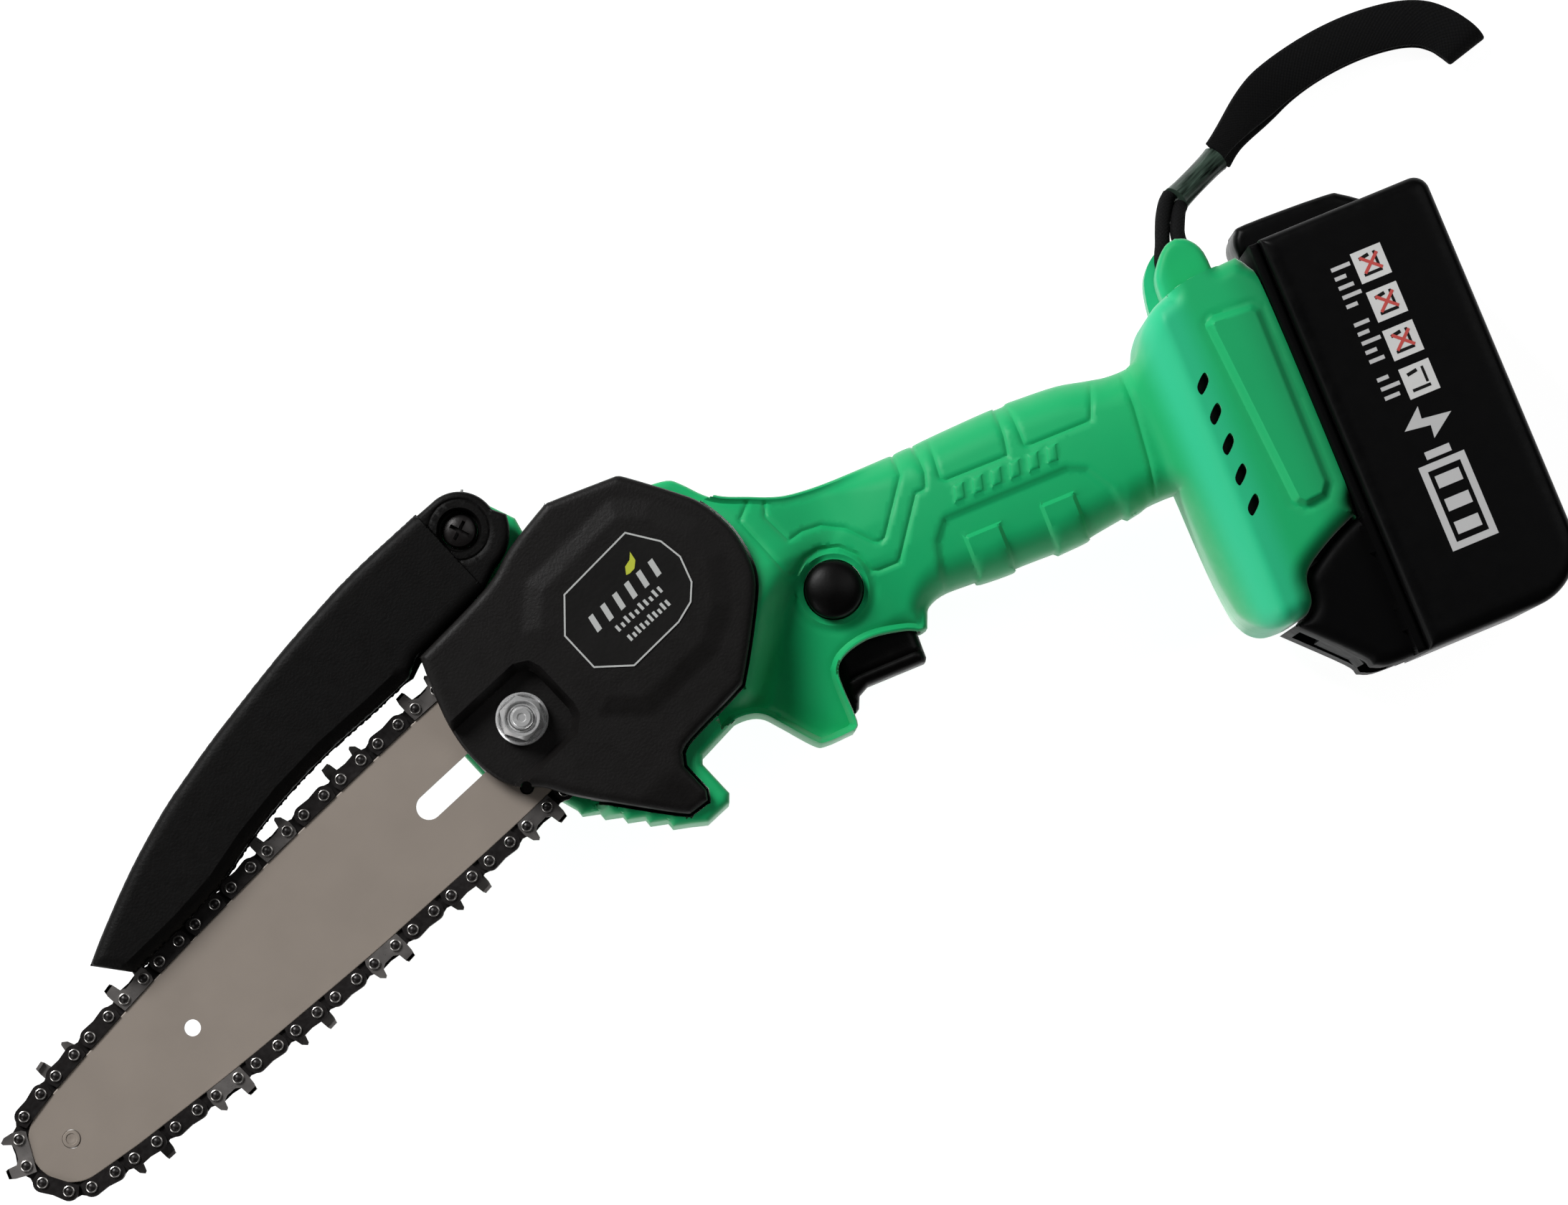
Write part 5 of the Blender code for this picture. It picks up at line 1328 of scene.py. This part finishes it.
def make_battery():
    def side(places, gap):
        return roll_off(gap, 3.0, 2.6)

    case = relief("battery_case_shell", [PACK], lambda p, g: PACK_WIDTH - side(p, g), side, 1.4)
    ridge = relief("battery_case_ridge", [rounded(RIDGE, 60)],
                   lambda p, g: RIDGE_HIGH - roll_off(g, 2.2, 2.2),
                   lambda p, g: RIDGE_LOW + roll_off(g, 2.2, 2.2), 0.8)
    case = joined("battery_case_set", [case, ridge])
    finish_piece(case, "battery_plastic", "battery", ["battery_case"], 40)

    def lid_face(places, gap, hump, plate_face, way):
        on_hump = places[:, 0] < LID_EDGE - 0.1
        return np.where(on_hump, hump + way * roll_off(gap, 3.0, 2.6), plate_face + way * roll_off(gap, 1.0, 1.0))

    lid = relief("battery_lid", [HUMP, LID], lambda p, g: lid_face(p, g, 66.0, 72.0, -1),
                 lambda p, g: lid_face(p, g, 9.0, 3.0, 1), 1.1,
                 edge_marks([(LID_EDGE, -84), (LID_EDGE, 26)], -0.1, 0.1, False))
    carve(lid, grip_plate("latch_room", rectangle(150, -90, 169, -66.6), 24.2, 50.8), solver="EXACT")
    rails = [grip_plate("rail", rectangle(160.4, -56, 165.6, 4), 15.2, 59.8, 0.5),
             grip_plate("neck", rectangle(165, -56, 174, 4), 19.2, 55.8)]
    for low in (25.8, 45.8):
        for rail in rails:
            carve(rail, grip_plate("slot", rectangle(160, -12, 167.4, 6), low, low + 3.4), solver="EXACT")
    finish_piece(joined("battery_top_set", [lid, *rails]), "lid_plastic", "battery", ["battery_top"], 40,
                 "battery_plastic")


PRINT = PACK_WIDTH + 0.01


def grip_bar(start, end, width, low, high):
    """A straight printed stroke between two places."""
    start, end = Vector(start), Vector(end)
    along = (end - start).normalized() * width / 2
    side = Vector((-along.y, along.x))
    corners = [start - along - side, end + along - side, end + along + side, start - along + side]
    return grip_plate("stroke", [tuple(c) for c in corners], low, high)


def grip_band(name, outline, width, low, high):
    return outline_band(name, all_from_grip(outline), width, low, high)


def make_battery_print():
    """Plain marks in place of the pack's lettering and warning pictures."""
    low, high = PRINT - 0.05, PRINT + 0.06
    case = rectangle(190.4, -63.8, 202.6, -41.6)
    strokes = [grip_band("battery_outline", case, 1.8, low, high)]
    strokes += [grip_bar((194.2, -39.6), (198.8, -39.6), 2.0, low, high)]
    strokes += [grip_bar((194.9, y), (198.1, y), 3.2, low, high) for y in (-46.6, -52.7, -58.8)]
    bolt = [(203.4, -31.6), (197.0, -36.2), (197.4, -32.9), (190.8, -32.0), (196.2, -27.4), (195.9, -30.6)]
    strokes.append(grip_plate("bolt", bolt, low, high))
    small = []
    for i, tall in enumerate((5, 3, 4, 5, 3, 0, 4, 3, 5, 3, 4, 0, 3, 5, 4)):
        if tall:
            y = 11.6 - 2.45 * i
            small.append(grip_bar((189.9, y), (189.9 + tall - 1.0, y), 1.0, low, high))
    pale, red, grey = [], [], []
    for i, y in enumerate((9.6, -0.7, -11.0, -21.3)):
        pale.append(grip_plate("panel", rectangle(195.2, y - 4, 203.2, y + 4), low, high))
        grey += [grip_bar((197.0, y - 2.2), (201.0, y - 2.2), 0.8, high - 0.02, high + 0.03),
                 grip_bar((197.2, y + 2.0), (199.0, y + 2.3), 0.9, high - 0.02, high + 0.03),
                 grip_bar((200.9, y - 1.0), (200.9, y + 2.4), 0.7, high - 0.02, high + 0.03)]
        if i < 3:
            red += [grip_bar((197.3, y - 1.6), (201.3, y + 2.0), 0.8, high - 0.02, high + 0.05),
                    grip_bar((197.3, y + 2.0), (201.3, y - 1.6), 0.8, high - 0.02, high + 0.07)]
    for name, pieces, ink in (("large", strokes, "grey_ink"), ("small", small, "grey_ink"),
                              ("panels", pale, "pale_ink"), ("marks", grey, "dark_ink"), ("crosses", red, "red_ink")):
        finish_piece(joined(f"battery_print_{name}", pieces), ink, "battery", slot="badge")


make_battery()
make_battery_print()


# ---------------------------------------------------------------- springs

def make_spring(node, body, moving, fixed, radius, wire, turns):
    """A coil between its moving end and its fixed end."""
    moving, fixed = Vector(moving), Vector(fixed)
    along = fixed - moving
    side = along.orthogonal().normalized()
    up = along.normalized().cross(side)
    count = turns * 20
    route = []
    for i in range(count + 1):
        angle = math.tau * i / 20
        out = side * math.cos(angle) + up * math.sin(angle)
        route.append(moving + along * i / count + out * radius)
    spring = swept(f"{node}_coil", route, circle((0, 0), wire, 8), along)
    finish_piece(spring, "bright_steel", body, [node], 60)
    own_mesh(spring)


LOCK_PLACE = grip(*LOCK_CENTRE)
make_spring("trigger_spring", "housing", grip3(52, -27.4, SPLIT), grip3(52, -16.3, SPLIT),
            3.0, 0.4, 6)
make_spring("lock_spring", "housing", (*LOCK_PLACE, 49.2), (*LOCK_PLACE, 43.9), 3.6, 0.35, 4)
make_spring("latch_spring", "battery", grip3(161.2, -74, SPLIT), grip3(168.2, -74, SPLIT),
            1.8, 0.3, 5)


# ---------------------------------------------------------------- inner pieces

LOOKS_INSIDE = {
    "black_plastic": ("motor_cap", "motor_end_bell", "motor_fan"),
    "grey_plastic": ("battery_latch", "switch_module", "terminal_block"),
    "aluminium": ("gear_plate",),
    "copper": ("motor_armature", "terminal_plus", "terminal_minus"),
    "red_insulation": ("battery_lead_red", "motor_lead_red"),
    "black_insulation": ("battery_lead_black", "motor_lead_black"),
    "cell_wrap": ("cell_pack",),
    "board_green": ("battery_board",),
    "dark_steel": ("tensioner_pin", "drive_gear", "sprocket_clip", "magnet_upper", "magnet_lower",
                   *[f"housing_screw_{i}" for i in range(1, 7)]),
}


def dress_inner_pieces():
    """The CAD nodes whose shape is right as it is get a fuller material."""
    looks = {name: look for look, names in LOOKS_INSIDE.items() for name in names}
    for name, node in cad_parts.items():
        if node.hide_render:
            continue
        for place in node.material_slots:
            place.material = M[looks.get(name, "bright_steel")]


dress_inner_pieces()


# ---------------------------------------------------------------- stage and light

FLOOR_GLOW = 0.95


def make_stage():
    n = Nodes(bpy.data.materials.new("floor"))
    cloud = n.noise(3.0, 2.0)
    tone = n.blend(n.span(cloud, 0, 1), (0.27, 0.27, 0.27), (0.30, 0.30, 0.30))
    n.set(Base_Color=tone, Roughness=0.9, Emission_Color=(1, 1, 1, 1), Emission_Strength=FLOOR_GLOW)
    floor = item_from("floor", [(x, y, -0.3) for x, y in rectangle(-3000, -3000, 3000, 3000)], [(0, 1, 2, 3)])
    floor.data.materials.append(n.material)


def add_light(name, direction, distance, size, power):
    """An area light of this size in metres, aimed at the saw from a direction."""
    light = bpy.data.lights.new(name, "AREA")
    light.shape = "DISK"
    light.size = size
    light.energy = power
    item = linked(name, light)
    direction = Vector(direction).normalized()
    turn = direction.to_track_quat("Z", "Y").to_matrix().to_4x4()
    item.matrix_world = Matrix.Translation(VIEW_CENTRE + direction * distance) @ turn


def picture_direction(right, up, high):
    """A direction given as the picture's right and up, and towards the camera."""
    c, s = math.cos(VIEW_TURN), math.sin(VIEW_TURN)
    return (right * c + up * s, up * c - right * s, high)


def light_world():
    """A studio that is bright beyond the picture's top and dim behind the camera."""
    world = bpy.data.worlds.new("studio")
    bpy.context.scene.world = world
    world.use_nodes = True
    tree = world.node_tree
    place = tree.nodes.new("ShaderNodeTexCoord")
    facing = tree.nodes.new("ShaderNodeVectorMath")
    facing.operation = "DOT_PRODUCT"
    facing.inputs[1].default_value = Vector(picture_direction(-0.6, 0.8, 0.1)).normalized()
    span = tree.nodes.new("ShaderNodeMapRange")
    for key, number in (("From Min", 0.0), ("From Max", 1.0), ("To Min", 0.12), ("To Max", 0.90)):
        span.inputs[key].default_value = number
    tree.links.new(place.outputs["Generated"], facing.inputs[0])
    tree.links.new(facing.outputs["Value"], span.inputs["Value"])
    tree.links.new(span.outputs[0], tree.nodes["Background"].inputs[1])


def light_scene():
    light_world()
    add_light("key", picture_direction(-0.85, 0.75, 0.95), 1.6, 0.7, 29)
    add_light("fill", picture_direction(0.7, 0.5, 1.3), 1.8, 1.2, 5)
    add_light("rim", picture_direction(-0.75, -0.6, 0.32), 1.6, 0.9, 9)
    bpy.context.scene.view_settings.view_transform = "Standard"
    bpy.context.scene.view_settings.look = "None"


make_stage()
light_scene()
